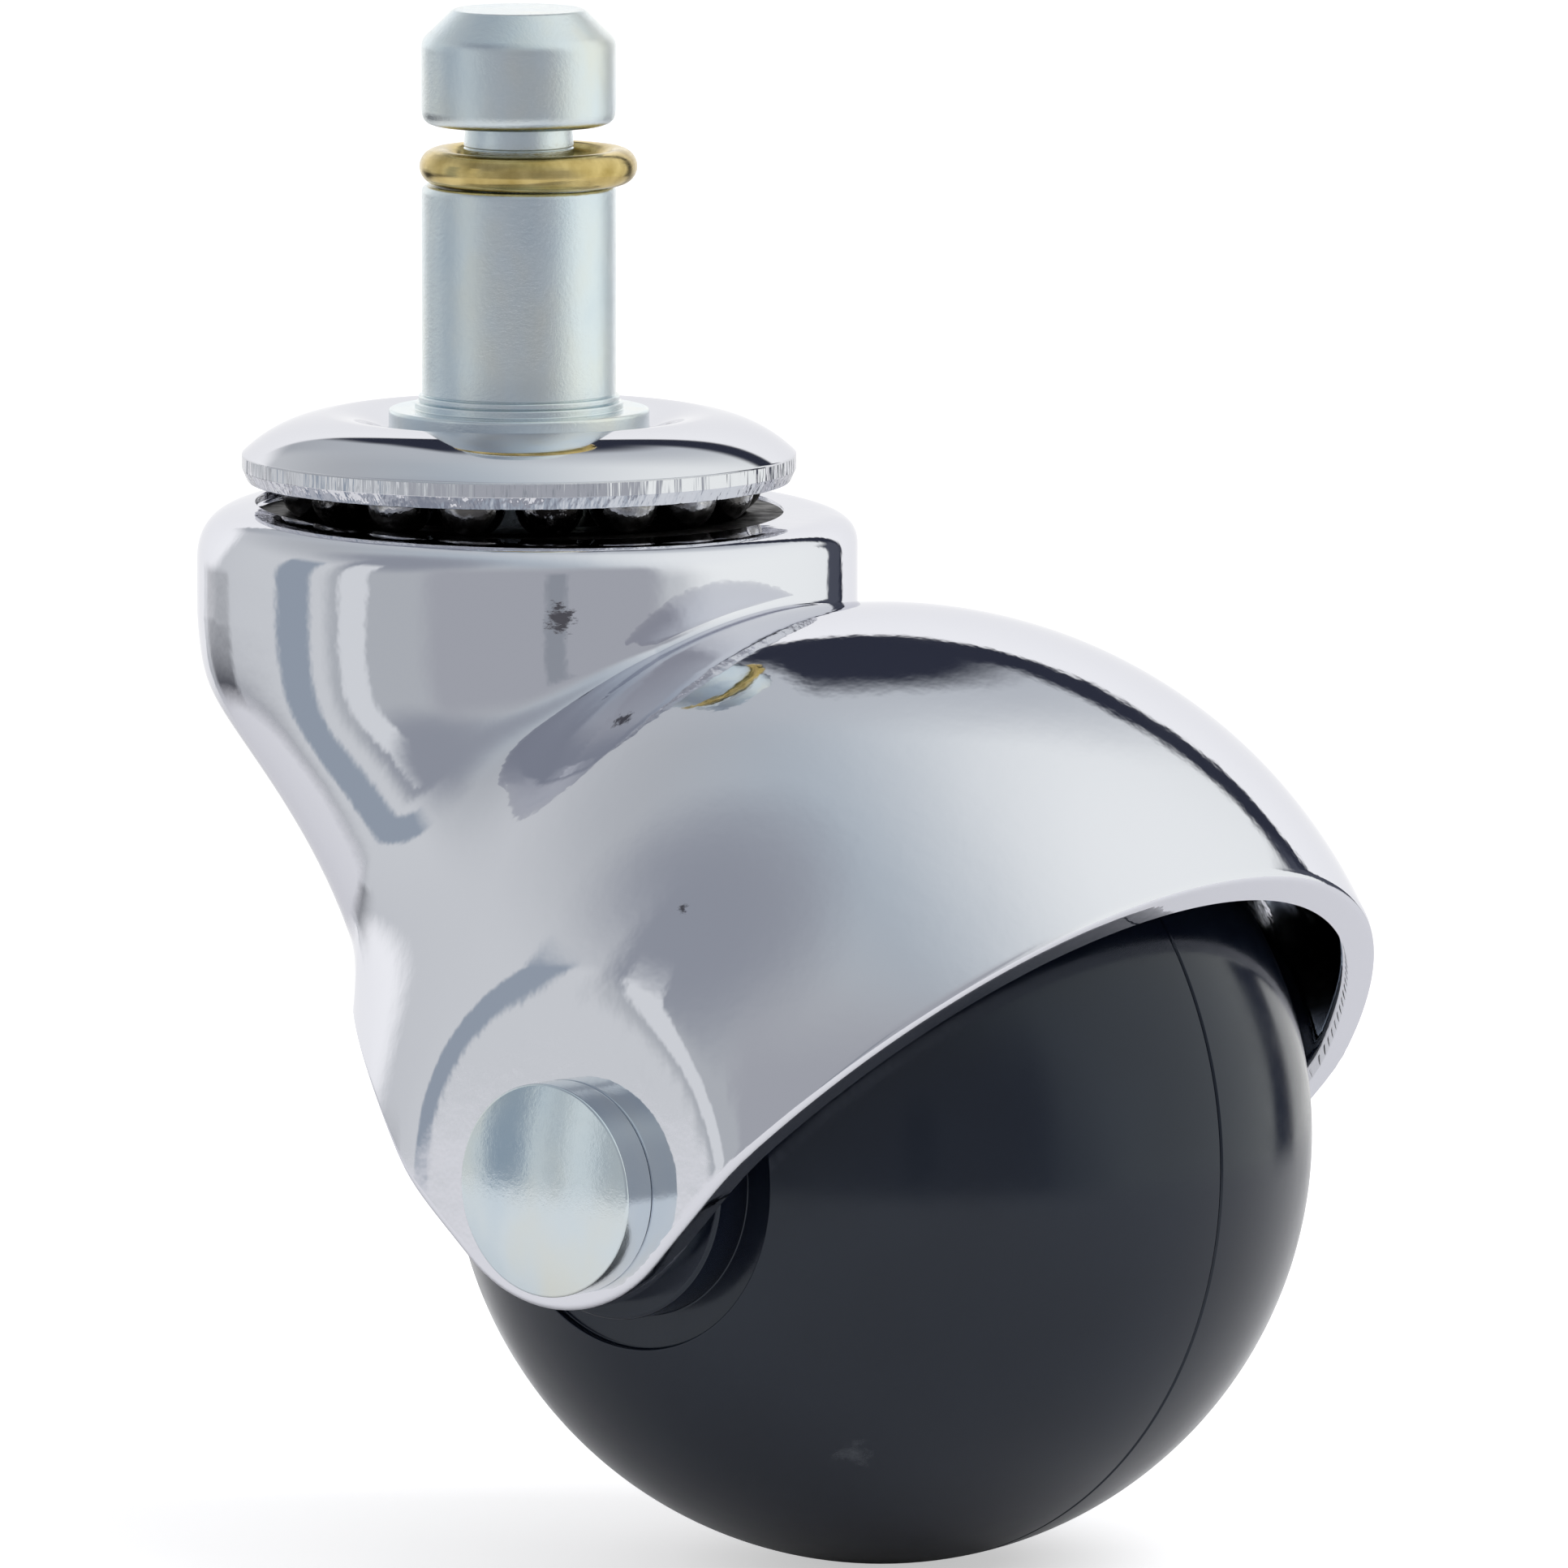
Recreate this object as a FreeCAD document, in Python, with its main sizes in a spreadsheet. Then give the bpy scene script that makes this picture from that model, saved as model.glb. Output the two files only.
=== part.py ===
# Hooded ball castor: grip ring stem, double row swivel bearing, cast hood and moulded ball.
# The origin is on the stem's axis, at the top face of its collar. +Z runs up the stem.
# +X is the trail, from the stem towards the ball. The axle lies along Y.
import FreeCAD, Part
import math
import os
import Sketcher

# Driving sizes, in millimetres and degrees.
SIZES = {
    # stem
    "stem_dia": 11.11,
    "stem_rise": 22.87,
    "stem_tip_flat": 7.5,
    "stem_tip_bevel": 1.75,
    "stem_shoulder_round": 0.9,
    "stem_cap_height": 6.6,
    "stem_cap_round": 0.85,
    "ring_groove_width": 3.45,
    "ring_groove_dia": 6.3,
    "shank_bevel": 0.4,
    "foot_band_dia": 11.9,
    "foot_band_height": 0.42,
    "foot_ring_dia": 11.5,
    "foot_ring_height": 0.3,
    "foot_groove_width": 0.08,
    "foot_groove_depth": 0.12,
    "collar_dia": 14.9,
    "collar_thick": 1.2,
    "collar_edge_round": 0.2,
    "kingpin_dia": 8.0,
    "tail_dia": 6.4,
    "tail_head_dia": 9.8,
    "tail_head_height": 1.5,
    # grip ring
    "ring_wire": 2.05,
    "ring_outer": 12.44,
    "ring_gap_angle": 22.0,
    "ring_gap_azimuth": 128.6,
    "ring_shift": 0.55,
    # top race disc
    "disc_dia": 31.7,
    "disc_thick": 1.6,
    "disc_crown_rise": 0.9,
    "disc_over_ball": 1.9,
    "disc_crown_reach": 11.0,
    "disc_edge_drop": 1.35,
    "disc_side": 0.85,
    "disc_burr": 0.35,
    "disc_burr_drop": 0.75,
    "disc_crown_radius": 6.5,
    "disc_shoulder_radius": 8.0,
    "disc_collar_flat": 0.2,
    "disc_track_lip": 0.6,
    # upper row
    "upper_ball_dia": 3.97,
    "upper_cup_dia": 30.2,
    "upper_cup_bore": 17.0,
    "upper_cup_thick": 1.1,
    "upper_cup_under_ball": 0.85,
    "upper_track_in": 3.1,
    # lower row
    "lower_ball_dia": 3.175,
    "lower_cup_dia": 15.9,
    "lower_cup_bore": 8.8,
    "lower_cup_thick": 1.6,
    "lower_cup_over_ball": 0.45,
    "lower_track_in": 1.85,
    "cone_dia": 15.2,
    "cone_thick": 1.5,
    "cone_under_ball": 1.0,
    # housing head and neck
    "head_dia": 37.8,
    "head_shift": 0.6,
    "head_top": 5.05,
    "head_round": 2.4,
    "head_slope": 1.5,
    "head_web": 3.6,
    "head_skirt": 0.8,
    "lower_seat_below_web": 0.6,
    "head_wall": 2.4,
    "neck_knee_level": 15.87,
    "neck_knee_round": 1.07,
    "neck_foot_above_axle": 4.0,
    "neck_foot_dia": 48.4,
    "neck_foot_back": 5.9,
    "neck_swell": 0.585,
    "boss_dia": 21.0,
    "boss_height": 5.0,
    "boss_root": 0.5,
    # hood and ears
    "trail": 26.5,
    "axle_drop": 39.5,
    "hood_over_ball": 3.84,
    "hood_wall": 1.9,
    "pad_inset": 2.24,
    "ear_wall": 2.0,
    "front_rim_angle": 46.5,
    "front_rim_below": 7.0,
    "back_rim_angle": 41.8,
    "back_rim_below": 8.44,
    "back_knee_reach": 19.0,
    "back_lip_angle": 14.0,
    "ear_tip_below": 7.1,
    # axle and hub
    "axle_dia": 7.9,
    "axle_head_dia": 12.0,
    "axle_head_side": 2.2,
    "axle_head_dome": 0.8,
    "axle_head_edge": 0.3,
    "axle_tail_dia": 10.4,
    "axle_tail_dome": 2.1,
    "sleeve_dia": 10.0,
    "washer_dia": 12.2,
    "washer_thick": 1.3,
    # ball
    "ball_dia": 48.8,
    "ball_wall": 3.4,
    "hub_dia": 15.8,
    "hub_end_gap": 0.17,
    "hub_recess_dia": 19.6,
    "hub_recess_depth": 0.5,
    "hub_tube_dia": 17.6,
    "rib_thick": 1.6,
    "rib_root": 0.3,
    "rib_back": 0.5,
    "seam_bevel": 0.14,
    # clearances
    "running_gap": 0.05,
    "seat_gap": 0.03,
    "groove_gap": 0.12,
    "kingpin_gap": 0.3,
    # how far the cutting outlines run past the metal
    "cut_past": 2.0,
    "cut_reach": 48.0,
}
UPPER_BALLS = 17
LOWER_BALLS = 11
HUB_RIBS = 6
NECK_STEPS = 5
FULL_TURN = 360.0
QUARTER_TURN = 90.0
SAME_PLACE = 1e-4


class Length:
    """A size from the sheet, or a sum of such sizes: its value and its formula."""

    def __init__(self, value, formula):
        self.value = float(value)
        self.formula = formula

    def joined(self, sign, other, value):
        return Length(value, f"({self.formula} {sign} {as_length(other).formula})")

    def __add__(self, other):
        return self.joined("+", other, self.value + as_length(other).value)

    def __sub__(self, other):
        return self.joined("-", other, self.value - as_length(other).value)

    def __mul__(self, other):
        return self.joined("*", other, self.value * as_length(other).value)

    def __truediv__(self, other):
        return self.joined("/", other, self.value / as_length(other).value)

    def __neg__(self):
        return Length(-self.value, f"(0 - {self.formula})")


def as_length(value):
    return value if isinstance(value, Length) else Length(value, repr(float(value)))


def root(length):
    return Length(math.sqrt(length.value), f"sqrt({length.formula})")


def sine(angle):
    return Length(math.sin(math.radians(angle.value)), f"sin({angle.formula} * 1 deg)")


def cosine(angle):
    return Length(math.cos(math.radians(angle.value)), f"cos({angle.formula} * 1 deg)")


def make_sheet(document):
    """Write every driving size into the sheet, each cell with its alias."""
    sheet = document.addObject("Spreadsheet::Sheet", "Sizes")
    lengths = {}
    for row, (name, value) in enumerate(SIZES.items(), start=1):
        sheet.set(f"A{row}", name)
        sheet.set(f"B{row}", str(value))
        sheet.setAlias(f"B{row}", name)
        lengths[name] = Length(value, f"Sizes.{name}")
    document.recompute()
    return lengths


doc = FreeCAD.newDocument("ball_castor")
size = make_sheet(doc)
ORIGIN = as_length(0)


def new_body(name, along=None, down=None):
    """A body that carries one sub-part, set along X and down Z from the seat."""
    body = doc.addObject("PartDesign::Body", name)
    body.Label = name
    if along is not None:
        body.setExpression("Placement.Base.x", along.formula)
        body.setExpression("Placement.Base.z", (-down).formula)
    return body


def origin_feature(body, role):
    return next(item for item in body.Origin.OriginFeatures if item.Role == role)


def new_sketch(body, name, plane="XZ_Plane", offset=None):
    sketch = body.newObject("Sketcher::SketchObject", name)
    sketch.AttachmentSupport = [(origin_feature(body, plane), "")]
    sketch.MapMode = "FlatFace"
    if offset is not None:
        sketch.setExpression("AttachmentOffset.Base.z", offset.formula)
    return sketch


def hold(sketch, kind, places, length):
    """Add one dimension to a sketch and bind it to its formula."""
    index = sketch.addConstraint(Sketcher.Constraint(kind, *places, length.value))
    sketch.setExpression(f"Constraints[{index}]", length.formula)


def pin_point(sketch, geometry, point, place):
    """Hold a point of the sketch at its place, on an axis where a coordinate is zero."""
    for kind, axis, length in (("DistanceX", -2, place[0]), ("DistanceY", -1, place[1])):
        if length is ORIGIN:
            sketch.addConstraint(Sketcher.Constraint("PointOnObject", geometry, point, axis))
        else:
            hold(sketch, kind, (-1, 1, geometry, point), length)


def flat(place):
    return FreeCAD.Vector(place[0].value, place[1].value, 0)


def arc_between(start, end, radius, bulge):
    """An arc from start to end. Bulge +1 has its centre on the left, -1 on the right."""
    middle = (start + end) * 0.5
    chord = end - start
    side = FreeCAD.Vector(-chord.y, chord.x, 0).normalize()
    reach = math.sqrt(max(radius ** 2 - (chord.Length / 2) ** 2, 0))
    centre = middle + side * (reach * bulge)
    first, last = (start, end) if bulge > 0 else (end, start)
    angles = [math.atan2(point.y - centre.y, point.x - centre.x) for point in (first, last)]
    circle = Part.Circle(centre, FreeCAD.Vector(0, 0, 1), radius)
    return Part.ArcOfCircle(circle, *angles)


def outline(sketch, corners):
    """Draw a closed outline. A corner is (x, y), or (x, y, radius, bulge) to leave it by an arc."""
    ends = []
    for index, corner in enumerate(corners):
        following = corners[(index + 1) % len(corners)]
        start, end = flat(corner), flat(following)
        if len(corner) == 2:
            geometry = sketch.addGeometry(Part.LineSegment(start, end), False)
            ends.append((geometry, 1, 2))
        else:
            radius, bulge = corner[2], corner[3]
            geometry = sketch.addGeometry(arc_between(start, end, radius.value, bulge), False)
            hold(sketch, "Radius", (geometry,), radius)
            ends.append((geometry, 1, 2) if bulge > 0 else (geometry, 2, 1))
    for index, (geometry, begin, finish) in enumerate(ends):
        after, after_begin, _ = ends[(index + 1) % len(ends)]
        sketch.addConstraint(Sketcher.Constraint("Coincident", geometry, finish, after, after_begin))
        pin_point(sketch, geometry, begin, corners[index])


def circle(sketch, centre, diameter):
    geometry = sketch.addGeometry(
        Part.Circle(flat(centre), FreeCAD.Vector(0, 0, 1), diameter.value / 2), False)
    hold(sketch, "Diameter", (geometry,), diameter)
    pin_point(sketch, geometry, 3, centre)


def turn(body, name, corners, plane="XZ_Plane", kind="PartDesign::Revolution"):
    """Turn an outline about the upright axis of its sketch."""
    sketch = new_sketch(body, name + "_outline", plane)
    outline(sketch, corners)
    feature = body.newObject(kind, name)
    feature.Profile = sketch
    feature.ReferenceAxis = (sketch, ["V_Axis"])
    feature.Angle = FULL_TURN
    return feature


def edges_where(feature, wanted):
    """Names of the edges of a feature that answer a question about them."""
    doc.recompute()
    found = [f"Edge{index}" for index, edge in enumerate(feature.Shape.Edges, start=1) if wanted(edge)]
    if not found:
        raise ValueError("no such edge on " + feature.Name)
    return found


def is_circle(edge, radius, height, axis="z"):
    """True for a whole circle of this radius at this height along the axis."""
    if edge.Degenerated or not isinstance(edge.Curve, Part.Circle):
        return False
    level = getattr(edge.Curve.Center, axis)
    return abs(edge.Curve.Radius - radius) < SAME_PLACE and abs(level - height) < SAME_PLACE


def dress(body, name, kind, base, edges, length):
    """Round or bevel edges of the base feature."""
    feature = body.newObject(kind, name)
    feature.Base = (base, edges)
    feature.setExpression("Radius" if kind.endswith("Fillet") else "Size", length.formula)
    return feature


def pocket(body, name, sketch, depth=None, outward=False, through=False):
    """Cut a sketch into the body, to a depth or right through on both sides."""
    before = body.Shape.Volume
    feature = body.newObject("PartDesign::Pocket", name)
    feature.Profile = sketch
    feature.Reversed = outward
    if through:
        feature.Type = "ThroughAll"
        feature.Midplane = True
    else:
        feature.setExpression("Length", depth.formula)
    doc.recompute()
    if not feature.Shape.Volume < before:
        raise ValueError("the cut took nothing away: " + name)
    return feature


# Levels and radii that several pieces share, measured down from the seat.
stem_radius = size["stem_dia"] / 2
collar_foot = size["collar_thick"]
crown_level = collar_foot - size["disc_crown_rise"]
upper_radius = size["upper_ball_dia"] / 2
upper_pitch = size["upper_cup_dia"] / 2 - size["upper_track_in"]
upper_centre = crown_level + size["disc_over_ball"] + size["seat_gap"] + upper_radius
upper_cup_foot = upper_centre + upper_radius + size["seat_gap"] + size["upper_cup_under_ball"]
upper_cup_top = upper_cup_foot - size["upper_cup_thick"]
web_foot = upper_cup_foot + size["head_web"]
neck_top = web_foot + size["head_skirt"]
neck_foot = size["axle_drop"] - size["neck_foot_above_axle"]
lower_radius = size["lower_ball_dia"] / 2
lower_pitch = size["lower_cup_dia"] / 2 - size["lower_track_in"]
lower_cup_top = web_foot + size["lower_seat_below_web"]
lower_centre = lower_cup_top + size["lower_cup_over_ball"] + size["seat_gap"] + lower_radius
cone_foot = lower_centre + lower_radius + size["seat_gap"] + size["cone_under_ball"]
cone_top = cone_foot - size["cone_thick"]
hood_radius = size["ball_dia"] / 2 + size["hood_over_ball"] + size["hood_wall"]
pad_face = hood_radius - size["pad_inset"]
ear_inside = pad_face - size["ear_wall"]
sleeve_end = ear_inside - size["seat_gap"]
hub_face = sleeve_end - size["washer_thick"] - size["hub_end_gap"]


def make_stem():
    """Turned steel stem: cap, ring groove, shank, collar, kingpin and riveted tail."""
    body = new_body("stem")
    tip = size["stem_tip_flat"] / 2
    top = size["stem_rise"]
    cap_foot = top - size["stem_cap_height"]
    shank_top = cap_foot - size["ring_groove_width"]
    groove = size["ring_groove_dia"] / 2
    band = size["foot_band_dia"] / 2
    band_top = size["foot_band_height"]
    second = size["foot_ring_dia"] / 2
    second_foot = band_top + size["foot_groove_width"]
    second_top = second_foot + size["foot_ring_height"]
    waist = stem_radius - size["foot_groove_depth"]
    shank_foot = second_top + size["foot_groove_width"]
    collar = size["collar_dia"] / 2
    kingpin = size["kingpin_dia"] / 2
    tail = size["tail_dia"] / 2
    tail_head = size["tail_head_dia"] / 2
    tail_foot = cone_foot + size["tail_head_height"]
    dome = (tail_head * tail_head + size["tail_head_height"] * size["tail_head_height"]) / (
        size["tail_head_height"] * 2)
    turned = turn(body, "stem_turned", [
        (ORIGIN, top),
        (ORIGIN, -tail_foot, dome, 1),
        (tail_head, -cone_foot),
        (tail, -cone_foot),
        (tail, -cone_top),
        (kingpin, -cone_top),
        (kingpin, -collar_foot),
        (collar, -collar_foot),
        (collar, ORIGIN),
        (band, ORIGIN),
        (band, band_top),
        (waist, band_top),
        (waist, second_foot),
        (second, second_foot),
        (second, second_top),
        (waist, second_top),
        (waist, shank_foot),
        (stem_radius, shank_foot),
        (stem_radius, shank_top),
        (groove, shank_top),
        (groove, cap_foot),
        (stem_radius, cap_foot),
        (stem_radius, top - size["stem_tip_bevel"]),
        (tip, top),
    ])
    radius = stem_radius.value
    cap = dress(body, "cap_round", "PartDesign::Fillet", turned, edges_where(
        turned, lambda edge: is_circle(edge, radius, cap_foot.value)), size["stem_cap_round"])
    shoulder = top.value - size["stem_tip_bevel"].value
    tipped = dress(body, "shoulder_round", "PartDesign::Fillet", cap, edges_where(
        cap, lambda edge: is_circle(edge, radius, shoulder)), size["stem_shoulder_round"])
    rim = collar.value
    rounded = dress(body, "collar_round", "PartDesign::Fillet", tipped, edges_where(
        tipped, lambda edge: is_circle(edge, rim, 0.0)), size["collar_edge_round"])
    dress(body, "shank_bevelled", "PartDesign::Chamfer", rounded, edges_where(
        rounded, lambda edge: is_circle(edge, radius, shank_top.value)), size["shank_bevel"])
    return body


def make_grip_ring():
    """Sprung brass ring, split at the back, lying loose in the stem's groove."""
    wire = size["ring_wire"] / 2
    mean = size["ring_outer"] / 2 - wire
    rest = size["stem_rise"] - size["stem_cap_height"] - size["ring_groove_width"]
    body = new_body("grip_ring")
    sketch = new_sketch(body, "ring_section")
    circle(sketch, (mean, ORIGIN), size["ring_wire"])
    ring = body.newObject("PartDesign::Revolution", "ring_bent")
    ring.Profile = sketch
    ring.ReferenceAxis = (sketch, ["V_Axis"])
    ring.setExpression("Angle", (as_length(FULL_TURN) - size["ring_gap_angle"]).formula)
    lean = size["ring_gap_azimuth"] - QUARTER_TURN
    body.setExpression("Placement.Base.x", (size["ring_shift"] * cosine(lean)).formula)
    body.setExpression("Placement.Base.y", (size["ring_shift"] * sine(lean)).formula)
    body.setExpression("Placement.Base.z", (rest + wire + size["seat_gap"]).formula)
    body.Placement.Rotation = FreeCAD.Rotation(FreeCAD.Vector(0, 0, 1), 0)
    turn_by = size["ring_gap_azimuth"] + size["ring_gap_angle"] / 2
    body.setExpression("Placement.Rotation.Angle", turn_by.formula)
    return body


def make_top_race():
    """Pressed disc: an arch over the ball track, a cut rim and a burr below it."""
    body = new_body("top_race")
    bore = size["kingpin_dia"] / 2 + size["seat_gap"]
    rim = size["disc_dia"] / 2
    collar = size["collar_dia"] / 2
    crown = size["disc_crown_reach"]
    rim_top = collar_foot + size["disc_edge_drop"]
    rim_foot = rim_top + size["disc_side"]
    burr_foot = rim_foot + size["disc_burr_drop"]
    track = upper_radius + size["groove_gap"]
    track_centre = upper_centre + size["groove_gap"] - size["seat_gap"]
    reach = root(track * track - (track_centre - rim_foot) * (track_centre - rim_foot))
    foot = collar_foot + size["disc_thick"]
    turn(body, "disc_pressed", [
        (bore, -foot),
        (upper_pitch - reach - size["disc_track_lip"], -foot),
        (upper_pitch - reach, -rim_foot, track, -1),
        (upper_pitch + reach, -rim_foot),
        (rim - size["disc_burr"], -burr_foot),
        (rim, -rim_foot),
        (rim, -rim_top, size["disc_shoulder_radius"], 1),
        (crown, -crown_level, size["disc_crown_radius"], 1),
        (collar + size["disc_collar_flat"], -collar_foot),
        (bore, -collar_foot),
    ])
    return body


def make_race_cup():
    """Pressed ring in the housing's head, with the track that the upper balls run in."""
    body = new_body("upper_cup")
    track = upper_radius + size["groove_gap"]
    track_centre = upper_centre - size["groove_gap"] + size["seat_gap"]
    reach = root(track * track - (upper_cup_top - track_centre) * (upper_cup_top - track_centre))
    inner, outer = size["upper_cup_bore"] / 2, size["upper_cup_dia"] / 2
    turn(body, "cup_pressed", [
        (inner, -upper_cup_foot),
        (outer, -upper_cup_foot),
        (outer, -upper_cup_top),
        (upper_pitch + reach, -upper_cup_top, track, -1),
        (upper_pitch - reach, -upper_cup_top),
        (inner, -upper_cup_top),
    ])
    return body


def make_lower_cup():
    """Ring pressed into the boss from below, with a track for the lower balls."""
    body = new_body("lower_cup")
    track = lower_radius + size["groove_gap"]
    track_centre = lower_centre + size["groove_gap"] - size["seat_gap"]
    foot = lower_cup_top + size["lower_cup_thick"]
    reach = root(track * track - (track_centre - foot) * (track_centre - foot))
    inner, outer = size["lower_cup_bore"] / 2, size["lower_cup_dia"] / 2
    turn(body, "lower_cup_pressed", [
        (inner, -lower_cup_top),
        (inner, -foot),
        (lower_pitch - reach, -foot, track, -1),
        (lower_pitch + reach, -foot),
        (outer, -foot),
        (outer, -lower_cup_top),
    ])
    return body


def make_cone():
    """Cone washer riveted on the kingpin's tail, under the lower balls."""
    body = new_body("lower_cone")
    track = lower_radius + size["groove_gap"]
    track_centre = lower_centre - size["groove_gap"] + size["seat_gap"]
    reach = root(track * track - (cone_top - track_centre) * (cone_top - track_centre))
    bore = size["tail_dia"] / 2 + size["seat_gap"]
    outer = size["cone_dia"] / 2
    turn(body, "cone_turned", [
        (bore, -cone_foot),
        (outer, -cone_foot),
        (outer, -cone_top),
        (lower_pitch + reach, -cone_top, track, -1),
        (lower_pitch - reach, -cone_top),
        (bore, -cone_top),
    ])
    return body


def make_balls(prefix, count, pitch, level, radius):
    """One row of loose bearing balls, each its own piece, evenly spaced on the pitch circle."""
    for index in range(count):
        angle = math.radians(FULL_TURN * index / count)
        ball = doc.addObject("Part::Sphere", f"{prefix}_{index + 1:02d}")
        ball.Label = ball.Name
        ball.setExpression("Radius", radius.formula)
        ball.setExpression("Placement.Base.x", (pitch * math.cos(angle)).formula)
        ball.setExpression("Placement.Base.y", (pitch * math.sin(angle)).formula)
        ball.setExpression("Placement.Base.z", (-level).formula)
        yield ball


def neck_sections(body, name, wall):
    """Circles down the neck: they start under the head, swing towards the ball and grow."""
    soft = size["neck_knee_round"]

    def lean(level):
        below = level - size["neck_knee_level"]
        return (below + root(below * below + soft * soft * 4)) / 2

    start = size["head_shift"] - size["trail"]
    swing = -size["neck_foot_back"] - start
    sections = []
    for step in range(NECK_STEPS + 1):
        level = neck_top + (neck_foot - neck_top) * step / NECK_STEPS
        way = (lean(level) - lean(neck_top)) / (lean(neck_foot) - lean(neck_top))
        along = way + size["neck_swell"] * way * (as_length(1) - way)
        diameter = size["head_dia"] + (size["neck_foot_dia"] - size["head_dia"]) * way
        sketch = new_sketch(body, f"{name}_{step}", "XY_Plane", size["axle_drop"] - level)
        circle(sketch, (start + swing * along, ORIGIN), diameter - wall * 2)
        sections.append(sketch)
    return sections


def make_housing():
    """Cast housing: round head, leaning neck, spherical hood and two ears for the axle."""
    body = new_body("housing", size["trail"], size["axle_drop"])
    drop = size["axle_drop"]
    head_x = size["head_shift"] - size["trail"]
    head_top = drop - size["head_top"]
    head_foot = drop - neck_top

    # The head and the neck that leans from it towards the ball.
    head_ring = new_sketch(body, "head_ring", "XY_Plane", head_foot)
    circle(head_ring, (head_x, ORIGIN), size["head_dia"])
    head = body.newObject("PartDesign::Pad", "head")
    head.Profile = head_ring
    head.setExpression("Length", (head_top - head_foot).formula)
    first, *others = neck_sections(body, "neck_section", ORIGIN)
    neck = body.newObject("PartDesign::AdditiveLoft", "neck")
    neck.Profile = first
    neck.Sections = others
    head_radius = size["head_dia"].value / 2
    dress(body, "head_rounded", "PartDesign::Fillet", neck, edges_where(
        neck, lambda edge: is_circle(edge, head_radius, head_top.value)), size["head_round"])

    # The hood over the ball, and its hollow with flat ears inside.
    hood = body.newObject("PartDesign::AdditiveSphere", "hood")
    hood.setExpression("Radius", hood_radius.formula)
    inside = hood_radius - size["hood_wall"]
    boss_reach = root(inside * inside - ear_inside * ear_inside)
    turn(body, "hood_hollow", [
        (ORIGIN, -ear_inside),
        (boss_reach, -ear_inside, inside, 1),
        (boss_reach, ear_inside),
        (ORIGIN, ear_inside),
    ], "XY_Plane", "PartDesign::Groove")

    # The neck is cored out below the head's web.
    first, *others = neck_sections(body, "core_section", size["head_wall"])
    core = body.newObject("PartDesign::SubtractiveLoft", "neck_core")
    core.Profile = first
    core.Sections = others
    core_ring = new_sketch(body, "core_ring", "XY_Plane", head_foot)
    circle(core_ring, (head_x, ORIGIN), size["head_dia"] - size["head_wall"] * 2)
    pocket(body, "head_cored", core_ring, size["head_skirt"], outward=True)

    # A boss under the web carries the lower race.
    boss_sketch = new_sketch(body, "boss_ring", "XY_Plane", drop - web_foot - size["boss_height"])
    circle(boss_sketch, (-size["trail"], ORIGIN), size["boss_dia"])
    boss = body.newObject("PartDesign::Pad", "boss")
    boss.Profile = boss_sketch
    boss.setExpression("Length", (size["boss_height"] + size["boss_root"]).formula)
    doc.recompute()

    # The sloping top of the head, the rim of the hood and the round tips of the ears.
    cut_top(body, head_x, head_top)
    cut_rims(body)

    # Seats for the two races, the kingpin's bore and the axle's holes.
    seat = new_sketch(body, "cup_seat", "XY_Plane", drop - upper_cup_foot)
    circle(seat, (-size["trail"], ORIGIN), size["upper_cup_dia"] + size["seat_gap"] * 2)
    pocket(body, "cup_seated", seat, upper_cup_foot, outward=True)
    lower_seat = new_sketch(body, "lower_seat", "XY_Plane", drop - lower_cup_top)
    circle(lower_seat, (-size["trail"], ORIGIN), size["lower_cup_dia"] + size["seat_gap"] * 2)
    pocket(body, "lower_seated", lower_seat, size["boss_height"] + size["cut_past"])
    bore = new_sketch(body, "kingpin_bore", "XY_Plane", drop)
    circle(bore, (-size["trail"], ORIGIN), size["kingpin_dia"] + size["kingpin_gap"] * 2)
    pocket(body, "kingpin_bored", bore, lower_cup_top + size["cut_past"])
    hole = new_sketch(body, "axle_hole")
    circle(hole, (ORIGIN, ORIGIN), size["axle_dia"] + size["running_gap"] * 2)
    pocket(body, "axle_holed", hole, through=True)

    # Flat pads on the ears, square to the axle.
    for name, side, outward in (("near_pad", pad_face, True), ("far_pad", -pad_face, False)):
        face = new_sketch(body, name, "XZ_Plane", side)
        circle(face, (ORIGIN, ORIGIN), hood_radius)
        pocket(body, name + "_cut", face, size["pad_inset"] + size["cut_past"], outward=outward)
    return body


def cut_top(body, head_x, head_top):
    """Slope the head's top down towards the hood."""
    reach = size["head_dia"] / 2 + size["cut_past"]
    fall = reach * 2 * sine(size["head_slope"]) / cosine(size["head_slope"])
    sketch = new_sketch(body, "head_slope")
    outline(sketch, [
        (head_x - reach, head_top),
        (head_x + reach, head_top - fall),
        (head_x + reach, head_top + size["cut_past"]),
        (head_x - reach, head_top + size["cut_past"]),
    ])
    pocket(body, "head_sloped", sketch, through=True)


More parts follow.
